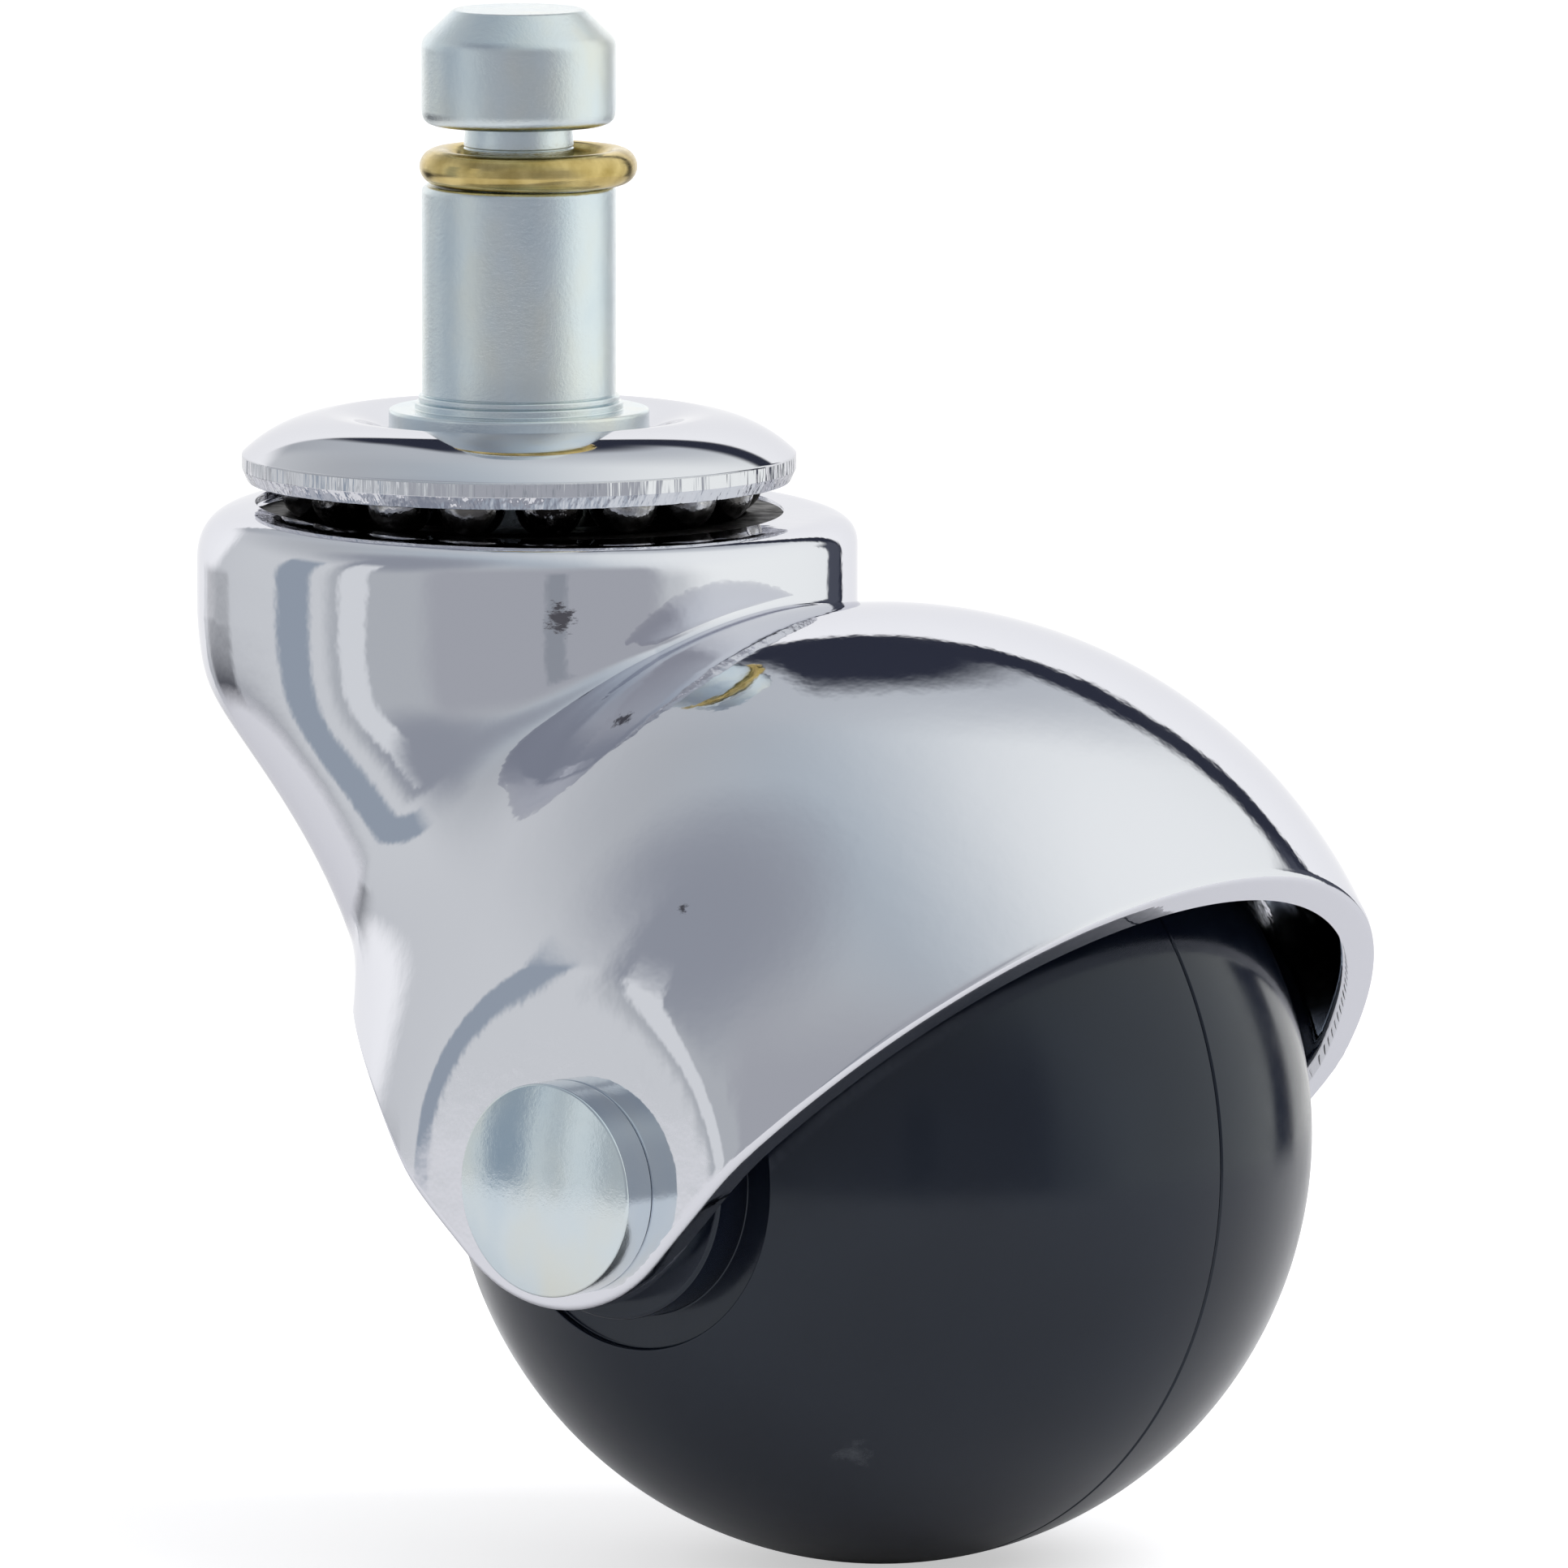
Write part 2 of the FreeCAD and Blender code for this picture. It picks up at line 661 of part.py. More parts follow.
def cut_rims(body):
    """Cut the hood along its front and back rims, round the ears' tips between them."""
    front, back = size["front_rim_angle"], size["back_rim_angle"]
    front_n = (-sine(front), cosine(front))
    back_n = (sine(back), cosine(back))
    # The tip's circle touches both rims and its lowest point is the ear's tip.
    front_x = front_n[0] / (as_length(1) - front_n[1])
    front_c = (size["front_rim_below"] - size["ear_tip_below"]) / (as_length(1) - front_n[1])
    back_x = back_n[0] / (as_length(1) - back_n[1])
    back_c = (size["back_rim_below"] - size["ear_tip_below"]) / (as_length(1) - back_n[1])
    tip_x = (back_c - front_c) / (front_x - back_x)
    tip_z = front_x * tip_x + front_c
    tip_radius = tip_z + size["ear_tip_below"]
    front_touch = (tip_x - tip_radius * front_n[0], tip_z - tip_radius * front_n[1])
    back_touch = (tip_x - tip_radius * back_n[0], tip_z - tip_radius * back_n[1])
    far = size["cut_reach"]
    front_end = (front_touch[0] + far * cosine(front), front_touch[1] + far * sine(front))
    # The back rim rises to a knee, and from there the neck's back wall ends in a flatter lip.
    lip = size["back_lip_angle"]
    knee_rise = (size["back_knee_reach"] + back_touch[0]) * sine(back) / cosine(back)
    knee = (-size["back_knee_reach"], back_touch[1] + knee_rise)
    lip_end = (knee[0] - far, knee[1] + far * sine(lip) / cosine(lip))
    sketch = new_sketch(body, "rim_outline")
    outline(sketch, [
        lip_end,
        knee,
        (back_touch[0], back_touch[1], tip_radius, 1),
        front_touch,
        front_end,
        (front_end[0], -far),
        (lip_end[0], -far),
    ])
    pocket(body, "rims_cut", sketch, through=True)


def dome_radius(half_width, rise):
    return (half_width * half_width + rise * rise) / (rise * 2)


def make_axle():
    """Headed axle: a low domed head on the near ear and a formed head on the far one."""
    body = new_body("axle", size["trail"], size["axle_drop"])
    shaft = size["axle_dia"] / 2
    head = size["axle_head_dia"] / 2
    tail = size["axle_tail_dia"] / 2
    near = pad_face + size["seat_gap"]
    side = near + size["axle_head_side"]
    turned = turn(body, "axle_headed", [
        (ORIGIN, -(side + size["axle_head_dome"]),
         dome_radius(head, size["axle_head_dome"]), 1),
        (head, -side),
        (head, -near),
        (shaft, -near),
        (shaft, near),
        (tail, near, dome_radius(tail, size["axle_tail_dome"]), 1),
        (ORIGIN, near + size["axle_tail_dome"]),
    ], "XY_Plane")
    head_radius = head.value
    dress(body, "head_edge", "PartDesign::Fillet", turned, edges_where(
        turned, lambda edge: is_circle(edge, head_radius, -side.value, "y")), size["axle_head_edge"])
    return body


def make_tube(name, inner, outer, start, end):
    """A plain ring or tube about the axle, from start to end along it."""
    body = new_body(name, size["trail"], size["axle_drop"])
    turn(body, name + "_turned", [
        (inner, start),
        (outer, start),
        (outer, end),
        (inner, end),
    ], "XY_Plane")
    return body


def make_ball_half(name, side):
    """One moulded half of the ball: shell, hub tube, hub face and ribs, open at the seam."""
    body = new_body(name, size["trail"], size["axle_drop"])
    ball = size["ball_dia"] / 2
    bore = size["sleeve_dia"] / 2 + size["running_gap"]
    hub = size["hub_dia"] / 2
    recess = size["hub_recess_dia"] / 2
    recess_lip = root(ball * ball - recess * recess)
    recess_floor = recess_lip - size["hub_recess_depth"]
    bevel = size["seam_bevel"]
    seam_reach = root(ball * ball - bevel * bevel)
    inside = ball - size["ball_wall"]
    tube = size["hub_tube_dia"] / 2
    tube_end = root(inside * inside - tube * tube)

    def across(length):
        return length if side > 0 else -length

    turn(body, name + "_shell", [
        (bore, ORIGIN),
        (tube, ORIGIN),
        (tube, across(tube_end), inside, -side),
        (inside, ORIGIN),
        (ball - bevel, ORIGIN),
        (seam_reach, across(bevel), ball, side),
        (recess, across(recess_lip)),
        (recess, across(recess_floor)),
        (hub, across(recess_floor)),
        (hub, across(hub_face)),
        (bore, across(hub_face)),
    ], "XY_Plane")
    doc.recompute()
    rib_sketch = new_sketch(body, name + "_rib", "XY_Plane")
    rib_foot = tube - size["rib_root"]
    rib_edge = inside + size["rib_root"]
    back = size["rib_back"]
    outline(rib_sketch, [
        (rib_foot, across(back)),
        (root(rib_edge * rib_edge - back * back), across(back), rib_edge, side),
        (rib_foot, across(root(rib_edge * rib_edge - rib_foot * rib_foot))),
    ])
    rib = body.newObject("PartDesign::Pad", name + "_ribbed")
    rib.Profile = rib_sketch
    rib.Midplane = True
    rib.setExpression("Length", size["rib_thick"].formula)
    doc.recompute()
    ring = body.newObject("PartDesign::PolarPattern", name + "_ribs")
    ring.Originals = [rib]
    ring.Axis = (origin_feature(body, "Y_Axis"), [""])
    ring.Angle = FULL_TURN
    ring.Occurrences = HUB_RIBS
    body.Tip = ring
    return body


def make_parts():
    """Every sub-part of the castor, from the stem down to the ball."""
    yield make_stem()
    yield make_grip_ring()
    yield make_top_race()
    yield from make_balls("upper_ball", UPPER_BALLS, upper_pitch, upper_centre, upper_radius)
    yield make_race_cup()
    yield make_housing()
    yield make_lower_cup()
    yield from make_balls("lower_ball", LOWER_BALLS, lower_pitch, lower_centre, lower_radius)
    yield make_cone()
    yield make_axle()
    gap = size["running_gap"]
    sleeve = size["sleeve_dia"] / 2
    yield make_tube("axle_sleeve", size["axle_dia"] / 2 + gap, sleeve, -sleeve_end, sleeve_end)
    washer = size["washer_dia"] / 2
    for name, side in (("near_washer", -1), ("far_washer", 1)):
        start = sleeve_end * side
        end = (sleeve_end - size["washer_thick"]) * side
        yield make_tube(name, sleeve + gap, washer, start, end)
    yield make_ball_half("near_ball_half", -1)
    yield make_ball_half("far_ball_half", 1)


def check(parts):
    """Stop if any object failed, or if a sub-part has no sound solid."""
    doc.recompute()
    for item in doc.Objects:
        if "Invalid" in item.State or "Error" in item.State:
            raise ValueError("this object failed: " + item.Name)
    for part in parts:
        if part.Shape.isNull() or not part.Shape.isValid() or not part.Shape.Solids:
            raise ValueError("this sub-part isn't sound: " + part.Label)


def write(parts):
    os.makedirs("parts", exist_ok=True)
    for part in parts:
        part.Shape.exportStep(f"parts/{part.Label}.step")
        print(part.Label, round(part.Shape.Volume, 2))


castor = list(make_parts())
check(castor)
write(castor)
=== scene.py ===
# %% [markdown]
# # A hooded ball castor
# The real thing is a furniture castor. A zinc-plated stem with a loose brass ring goes into the leg,
# a chromed casting turns under it on two rows of small steel balls, and a black plastic ball rolls
# on an axle between the casting's ears. Most of it is mirror bright, and a mirror shows every flat
# facet. So this lesson makes each piece from its own measured outline with fine, smooth faces, and
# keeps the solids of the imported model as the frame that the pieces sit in.

# %% Load the frame
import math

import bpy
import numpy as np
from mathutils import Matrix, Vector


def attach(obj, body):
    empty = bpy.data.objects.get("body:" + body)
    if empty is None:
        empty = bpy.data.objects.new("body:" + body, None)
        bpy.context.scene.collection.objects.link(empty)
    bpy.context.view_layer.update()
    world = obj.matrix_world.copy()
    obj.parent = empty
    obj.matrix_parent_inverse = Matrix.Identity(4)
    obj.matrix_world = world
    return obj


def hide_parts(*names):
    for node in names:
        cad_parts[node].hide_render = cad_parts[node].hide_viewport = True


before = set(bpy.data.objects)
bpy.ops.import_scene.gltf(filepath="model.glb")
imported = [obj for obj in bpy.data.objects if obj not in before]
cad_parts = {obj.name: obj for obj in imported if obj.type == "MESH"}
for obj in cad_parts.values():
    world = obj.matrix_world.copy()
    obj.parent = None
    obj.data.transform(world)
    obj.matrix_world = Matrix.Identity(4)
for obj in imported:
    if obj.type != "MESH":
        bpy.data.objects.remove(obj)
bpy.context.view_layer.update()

# %% [markdown]
# ## Units
# Blender works in metres, and a castor is drawn in millimetres, so every outline below is in
# millimetres and one factor turns it to metres.

MM = 0.001

# %% [markdown]
# ## The castor's own sizes
# These are the sizes of the real parts, in millimetres. Levels are heights above the seat where the
# leg's foot bears, so most are negative. X runs along the trail from the stem to the ball, Y along
# the axle. The bearing is stacked from the seat down: collar, disc, balls, race, web, race, cone.

# %% Shared sizes
TRAIL, AXLE_DROP = 26.5, 39.5
BALL_RADIUS, HOOD_RADIUS, HOOD_WALL = 24.4, 30.14, 1.9
PAD_FACE, EAR_WALL = 27.9, 2.0
AXLE_CENTRE = (TRAIL, 0.0, -AXLE_DROP)
SEAT_GAP, TRACK_GAP = 0.03, 0.12

# %% Levels of the bearing
STEM_RADIUS, COLLAR_RADIUS, COLLAR_FOOT = 5.555, 7.45, -1.2
DISC_CROWN, DISC_RADIUS, DISC_BORE = COLLAR_FOOT + 0.9, 15.85, 4.03
UPPER_BALL, UPPER_PITCH, UPPER_CUP_RADIUS = 3.97, 12.0, 15.1
UPPER_LEVEL = DISC_CROWN - 1.9 - SEAT_GAP - UPPER_BALL / 2
UPPER_CUP_FOOT = UPPER_LEVEL - UPPER_BALL / 2 - SEAT_GAP - 0.85
UPPER_CUP_TOP = UPPER_CUP_FOOT + 1.1
WEB = UPPER_CUP_FOOT - 3.6
LOWER_BALL, LOWER_PITCH, LOWER_CUP_RADIUS = 3.175, 6.1, 7.95
LOWER_CUP_TOP = WEB - 0.6
LOWER_LEVEL = LOWER_CUP_TOP - 0.45 - SEAT_GAP - LOWER_BALL / 2
CONE_FOOT = LOWER_LEVEL - LOWER_BALL / 2 - SEAT_GAP - 1.0
CONE_TOP = CONE_FOOT + 1.5
print("balls at", round(UPPER_LEVEL, 2), "and", round(LOWER_LEVEL, 2), "mm,",
      "cone's foot at", round(CONE_FOOT, 2))

# %% [markdown]
# ## Colours
# A colour is written as the sRGB hex value that a painter's or a web page's swatch would show.
# Shaders work with linear light, so one function turns a swatch into linear numbers.


# %% From a swatch to linear light
def swatch(code):
    """An sRGB hex colour such as 2F333B as linear RGBA."""
    channels = [int(code[i:i + 2], 16) / 255 for i in (0, 2, 4)]
    return [c / 12.92 if c <= 0.04045 else ((c + 0.055) / 1.055) ** 2.4 for c in channels] + [1.0]


print("mid grey 808080 in linear light:", [round(c, 3) for c in swatch("808080")[:3]])

# %% [markdown]
# ## One helper for node trees
# A material is a small graph. Every node in this file is added by the same function: it takes the
# node's type, its settings by name, and what goes into its inputs, which is a plain value, another
# node or one of its outputs.


# %% Add a node
def feed(tree, node, inputs):
    """Set or link inputs, each by name or by number. A node stands for its first output."""
    for socket, value in inputs.items():
        if isinstance(value, bpy.types.Node):
            value = value.outputs[0]
        if isinstance(value, bpy.types.NodeSocket):
            tree.links.new(value, node.inputs[socket])
        else:
            node.inputs[socket].default_value = value


def add(tree, kind, inputs=None, **settings):
    """Add one node with its settings, and feed its inputs."""
    node = tree.nodes.new(kind)
    for name, value in settings.items():
        setattr(node, name, value)
    feed(tree, node, inputs or {})
    return node


def ramp(tree, factor, stops):
    """A colour ramp from a list of (place, level or colour)."""
    node = add(tree, "ShaderNodeValToRGB", {"Fac": factor})
    points = node.color_ramp.elements
    while len(points) < len(stops):
        points.new(0.5)
    for point, (place, level) in zip(points, stops):
        point.position = place
        point.color = level if isinstance(level, list) else (level, level, level, 1.0)
    return node


def empty_tree(owner):
    """The cleared node tree of a material or a world."""
    owner.use_nodes = True
    owner.node_tree.nodes.clear()
    return owner.node_tree


def new_material(name):
    """A material whose tree ends in a Principled shader."""
    material = bpy.data.materials.new(name)
    tree = empty_tree(material)
    shader = add(tree, "ShaderNodeBsdfPrincipled")
    add(tree, "ShaderNodeOutputMaterial", {"Surface": shader})
    return material, tree, shader


def object_place(tree, size_mm):
    """Object coordinates scaled so that 1 is one pattern size, the same or its own on each axis."""
    sizes = size_mm if isinstance(size_mm, tuple) else (size_mm,) * 3
    place = add(tree, "ShaderNodeTexCoord").outputs["Object"]
    return add(tree, "ShaderNodeMapping", {"Vector": place, "Scale": [1 / (size * MM) for size in sizes]})


# %% [markdown]
# ## Marks of use
# A part that has been handled carries a few marks: a scuff where the plating is torn, a speck, a
# smudge. Each has a place on the part and a size. The distance to that place, made ragged by a fine
# noise, gives a patch with a broken edge.


# %% Marks
def marks(tree, spots, grain_mm, ragged=0.9, soft=0.2):
    """1 on marks of use, each given as (x, y, z, radius) in millimetres, 0 elsewhere."""
    place = add(tree, "ShaderNodeTexCoord").outputs["Object"]
    noise = add(tree, "ShaderNodeTexNoise", {
        "Vector": object_place(tree, grain_mm), "Scale": 1.0, "Detail": 5.0, "Roughness": 0.75})
    edge = ragged + 0.5
    total = None
    for x, y, z, radius in spots:
        away = add(tree, "ShaderNodeVectorMath", {0: place, 1: (x * MM, y * MM, z * MM)}, operation="DISTANCE")
        share = add(tree, "ShaderNodeMath", {0: away.outputs["Value"], 1: radius * MM}, operation="DIVIDE")
        torn = add(tree, "ShaderNodeMath", {0: noise, 1: 2 * ragged, 2: share}, operation="MULTIPLY_ADD")
        patch = add(tree, "ShaderNodeMapRange", {"Value": torn, "From Min": edge, "From Max": edge - soft})
        total = patch if total is None else add(tree, "ShaderNodeMath", {0: total, 1: patch}, operation="MAXIMUM")
    return total


# %% [markdown]
# ## Bright chrome on the casting
# The housing is a zinc casting, ground and buffed by hand, then plated with nickel and chrome.
# Chrome is a metal with a cool grey tint that reflects most of the light, and a little less at a
# glancing angle than an ideal metal. Buffing leaves the surface very slightly wavy over some
# millimetres, which makes its reflections swim, and the plating adds a fine orange peel. A soft
# bump gives both.

# %% Colours that return
CHROME_GLANCE = swatch("E8E8EB")
# near-black for greasy films and for painted shade in the bearing's gaps
GREASE_AND_SHADE = "1C1A19"


# %% Chromed casting
def make_cast_chrome():
    material, tree, shader = new_material("chromed_zinc_casting")
    # a torn scuff high on the neck and a spot on the hood
    worn = marks(tree, [(14.0, -13.4, -9.9, 1.7), (32.3, -25.0, -23.7, 0.6)], (1.1, 1.1, 0.35))
    plate = add(tree, "ShaderNodeMix", {0: worn, 6: swatch("E4E5EB"), 7: swatch("706E74")}, data_type="RGBA")
    # buffing waves are 9 mm long, and a fine orange peel of 1.2 mm lies over them
    waves = add(tree, "ShaderNodeTexNoise", {"Vector": object_place(tree, 9.0), "Scale": 1.0, "Detail": 1.0})
    peel = add(tree, "ShaderNodeTexNoise", {"Vector": object_place(tree, 1.2), "Scale": 1.0, "Detail": 2.0})
    height = add(tree, "ShaderNodeMath", {0: waves, 1: 9.0, 2: peel}, operation="MULTIPLY_ADD")
    # smears of polish leave some patches a touch duller, and a torn place is duller still
    smear = add(tree, "ShaderNodeTexNoise", {
        "Vector": object_place(tree, (14.0, 6.0, 9.0)), "Scale": 1.0, "Detail": 4.0, "Roughness": 0.6})
    dull = ramp(tree, smear, [(0.35, 0.03), (0.75, 0.07)])
    feed(tree, shader, {
        "Metallic": 1.0, "Specular Tint": CHROME_GLANCE, "Base Color": plate.outputs[2],
        "Roughness": add(tree, "ShaderNodeMath", {0: worn, 1: 0.3, 2: dull}, operation="MULTIPLY_ADD"),
        "Normal": add(tree, "ShaderNodeBump", {"Height": height, "Strength": 0.5, "Distance": 0.02 * MM})})
    return material


cast_chrome = make_cast_chrome()

# %% [markdown]
# ## Chrome on the pressed disc
# The disc over the balls is pressed from sheet, and its rim is cut by the die. The face is polished
# and plated like the casting. The cut rim keeps the fine upright lines of the shearing, so below the
# shoulder a stretched noise scores it. Under the arch the plate is painted near-black, for the
# bearing's greasy film and as painted shade of the dark gap over the balls.


# %% Chromed pressing
def make_disc_chrome():
    material, tree, shader = new_material("chromed_steel_pressing")
    place = add(tree, "ShaderNodeTexCoord").outputs["Object"]
    height = add(tree, "ShaderNodeSeparateXYZ", {0: place}).outputs["Z"]
    # the sheared band starts 2.55 mm below the seat and the change is 0.1 mm wide
    band = add(tree, "ShaderNodeMapRange", {
        "Value": height, "From Min": -2.65 * MM, "From Max": -2.55 * MM, "To Min": 1.0, "To Max": 0.0})
    scores = add(tree, "ShaderNodeTexNoise", {
        "Vector": object_place(tree, (1.9, 1.9, 16.0)), "Scale": 1.0, "Detail": 4.0, "Roughness": 0.5})
    depth = add(tree, "ShaderNodeMath", {0: scores, 1: band}, operation="MULTIPLY")
    # the near-black underside, a greasy film and painted shade of the gap over the balls in one, reaches 14.3 mm
    # out from the stem's axis and starts 2 mm below the seat
    level = add(tree, "ShaderNodeVectorMath", {0: place, 1: (1, 1, 0)}, operation="MULTIPLY")
    reach = add(tree, "ShaderNodeVectorMath", {0: level}, operation="LENGTH").outputs["Value"]
    inside = add(tree, "ShaderNodeMapRange", {"Value": reach, "From Min": 14.4 * MM, "From Max": 14.3 * MM})
    under = add(tree, "ShaderNodeMapRange", {"Value": height, "From Min": -2.0 * MM, "From Max": -2.1 * MM})
    grease_and_shade = add(tree, "ShaderNodeMath", {0: inside, 1: under}, operation="MULTIPLY")
    plate = add(tree, "ShaderNodeMix", {0: grease_and_shade, 6: swatch("E2E3E8"), 7: swatch(GREASE_AND_SHADE)}, data_type="RGBA")
    rough = add(tree, "ShaderNodeMapRange", {"Value": band, "To Min": 0.05, "To Max": 0.1})
    feed(tree, shader, {
        "Metallic": 1.0, "Specular Tint": CHROME_GLANCE, "Base Color": plate.outputs[2],
        "Roughness": add(tree, "ShaderNodeMath", {0: grease_and_shade, 1: 0.4, 2: rough}, operation="MULTIPLY_ADD"),
        "Normal": add(tree, "ShaderNodeBump", {"Height": depth, "Strength": 1.0, "Distance": 0.7 * MM})})
    return material


disc_chrome = make_disc_chrome()

# %% [markdown]
# ## Bright zinc plate
# The stem and the axle are turned steel with bright zinc plating and a clear blue passivate. Zinc
# is paler and bluer than chrome and scatters light more. It grows in fine crystals, and the
# passivate dries in faint yellow and blue patches, so the colour drifts a little over millimetres
# and small bright flecks show where the light catches the crystals.


# %% Zinc plate
def make_zinc(name, grain_mm, depth_mm):
    material, tree, shader = new_material(name)
    drift = add(tree, "ShaderNodeTexNoise", {
        "Vector": object_place(tree, (5.0, 5.0, 8.0)), "Scale": 1.0, "Detail": 3.0})
    grain = add(tree, "ShaderNodeTexNoise", {
        "Vector": object_place(tree, grain_mm), "Scale": 1.0, "Detail": 5.0, "Roughness": 0.8})
    feed(tree, shader, {
        "Metallic": 1.0,
        "Base Color": ramp(tree, drift, [
            (0.25, swatch("CFDDE6")), (0.5, swatch("DAE4E8")), (0.75, swatch("E0E3DC"))]),
        "Roughness": ramp(tree, grain, [(0.3, 0.07), (0.7, 0.15)]),
        "Normal": add(tree, "ShaderNodeBump", {"Height": grain, "Strength": 0.5, "Distance": depth_mm * MM})})
    return material


zinc = make_zinc("bright_zinc_plate", 0.28, 0.05)
headed_zinc = make_zinc("zinc_plate_on_cold_headed_steel", 0.9, 0.03)

# %% [markdown]
# ## Brass wire, bearing steel and black plastic
# The ring is drawn brass wire that has dulled in the air. The bearing balls and races are hardened
# steel with a greasy film. The races are painted dark, for the greasy film and as painted shade deep
# in the gaps, and two spots of the upper ball row are darkened to near-black. The ball is moulded
# from a hard black plastic in a polished mould, so it is glossy, with the faint dust and smudges of a
# handled part.


# %% Brass
def make_brass():
    material, tree, shader = new_material("drawn_brass_wire")
    drift = add(tree, "ShaderNodeTexNoise", {"Vector": object_place(tree, 1.6), "Scale": 1.0, "Detail": 4.0})
    lines = add(tree, "ShaderNodeTexNoise", {
        "Vector": object_place(tree, (3.0, 3.0, 0.12)), "Scale": 1.0, "Detail": 3.0})
    feed(tree, shader, {
        "Metallic": 1.0,
        "Base Color": ramp(tree, drift, [(0.3, swatch("AE9756")), (0.7, swatch("E1CB8B"))]),
        "Roughness": ramp(tree, lines, [(0.3, 0.14), (0.7, 0.26)]),
        "Normal": add(tree, "ShaderNodeBump", {"Height": lines, "Strength": 0.4, "Distance": 0.02 * MM})})
    return material


brass = make_brass()


# %% Bearing steel
def make_bearing_steel(name, clean, greasy, roughness, darkened_spots=()):
    material, tree, shader = new_material(name)
    film = add(tree, "ShaderNodeTexNoise", {"Vector": object_place(tree, 1.3), "Scale": 1.0, "Detail": 4.0})
    tint = ramp(tree, film, [(0.4, swatch(greasy)), (0.65, swatch(clean))])
    # given spots of the ball row are darkened to near-black
    if darkened_spots:
        darkening = marks(tree, darkened_spots, 1.0, 0.3, 0.05)
        tint = add(tree, "ShaderNodeMix", {0: darkening, 6: tint, 7: swatch(GREASE_AND_SHADE)}, data_type="RGBA").outputs[2]
    feed(tree, shader, {
        "Metallic": 1.0, "Base Color": tint,
        "Roughness": ramp(tree, film, [(0.35, roughness[0]), (0.6, roughness[1])]),
        "Normal": add(tree, "ShaderNodeBump", {"Height": film, "Strength": 0.6, "Distance": 0.25 * MM})})
    return material


ball_steel = make_bearing_steel("greased_ball_steel", "DEDEE1", "716E6B", (0.30, 0.10),
                                [(8.87, -8.09, -4.2, 4.5), (-3.29, -11.54, -4.2, 4.5)])
# the races' steel is painted dark, for a greasy film and as painted shade deep in the gaps
race_steel = make_bearing_steel("greased_and_shaded_race_steel", "4A4847", GREASE_AND_SHADE, (0.55, 0.40))


# %% Black plastic
def make_black_plastic():
    material, tree, shader = new_material("moulded_black_plastic")
    cloud = add(tree, "ShaderNodeTexNoise", {"Vector": object_place(tree, 12.0), "Scale": 1.0, "Detail": 3.0})
    tint = ramp(tree, cloud, [(0.3, swatch("0A0E1A")), (0.7, swatch("101622"))])
    # a dry smudge low on the near half, and two flecks of lint
    dusty = marks(tree, [(37.0, -15.7, -55.0, 2.2), (50.1, -4.5, -37.5, 0.25), (36.0, -22.0, -40.6, 0.2)],
                  0.9, 0.7, 0.8)
    film = add(tree, "ShaderNodeMath", {0: dusty, 1: 0.35}, operation="MULTIPLY")
    skin_tint = add(tree, "ShaderNodeMix", {0: film, 6: tint, 7: swatch("6F7378")}, data_type="RGBA")
    smudge = add(tree, "ShaderNodeTexNoise", {
        "Vector": object_place(tree, 5.0), "Scale": 1.0, "Detail": 6.0, "Roughness": 0.7})
    # the polished skin has a faint blue cast
    feed(tree, shader, {
        "IOR": 1.5, "Specular Tint": swatch("EAF4FF"), "Base Color": skin_tint.outputs[2],
        "Roughness": ramp(tree, smudge, [(0.4, 0.13), (0.75, 0.24)])})
    return material


black_plastic = make_black_plastic()

# %% [markdown]
# ## Turned pieces
# Almost everything here was made on a lathe or a press, so it is an outline turned about an axis.
# A bare outline gives knife edges that no real part has and that catch no light. So each corner of
# an outline may carry a rounding: the corner is cut back and a short curve put in. A guard point
# just outside the curve keeps the flat beside it flat in the reflections.


# %% Round the corners of an outline
def rounded(corners, closed, steps=5, guard=0.03):
    """Points of an outline in millimetres. A corner is (radius, height) or (radius, height, rounding)."""
    points = []
    last = len(corners) - 1
    for index, corner in enumerate(corners):
        here = Vector(corner[:2])
        size = corner[2] if len(corner) > 2 else 0.0
        if size == 0.0 or (not closed and index in (0, last)):
            points.append(here)
            continue
        back = Vector(corners[index - 1][:2]) - here
        ahead = Vector(corners[(index + 1) % len(corners)][:2]) - here
        turn = math.pi - back.angle(ahead)
        trim = min(size * math.tan(turn / 2), 0.45 * min(back.length, ahead.length))
        start, end = here + back.normalized() * trim, here + ahead.normalized() * trim
        points.append(start + back.normalized() * min(guard, 0.04 * back.length))
        for step in range(steps + 1):
            t = step / steps
            points.append(start * (1 - t) ** 2 + here * (2 * t * (1 - t)) + end * t ** 2)
        points.append(end + ahead.normalized() * min(guard, 0.04 * ahead.length))
    return points


def arc(start, end, radius, bulge, steps=24):
    """Points of an arc from start to end. Bulge +1 has its centre on the left, -1 on the right."""
    start, end = Vector(start[:2]), Vector(end[:2])
    chord = end - start
    side = Vector((-chord.y, chord.x)).normalized()
    centre = (start + end) / 2 + side * math.sqrt(max(radius ** 2 - (chord.length / 2) ** 2, 0)) * bulge
    first = math.atan2(start.y - centre.y, start.x - centre.x)
    sweep = (math.atan2(end.y - centre.y, end.x - centre.x) - first) % (2 * math.pi)
    if bulge < 0:
        sweep -= 2 * math.pi
    return [(centre.x + radius * math.cos(first + sweep * k / steps),
             centre.y + radius * math.sin(first + sweep * k / steps)) for k in range(1, steps)]


# %% [markdown]
# The points are then swept round the axis in even steps. A point on the axis becomes one shared
# vertex, so the pole is closed, and the faces are turned to point outwards at the end.


# %% Turn an outline about its axis
def mesh_object(name, vertices, faces, material):
    """A smooth mesh object at the origin from points in millimetres."""
    mesh = bpy.data.meshes.new(name)
    mesh.from_pydata([tuple(c * MM for c in vertex) for vertex in vertices], [], faces)
    mesh.materials.append(material)
    mesh.polygons.foreach_set("use_smooth", [True] * len(mesh.polygons))
    mesh.update()
    piece = bpy.data.objects.new(name, mesh)
    bpy.context.scene.collection.objects.link(piece)
    return piece


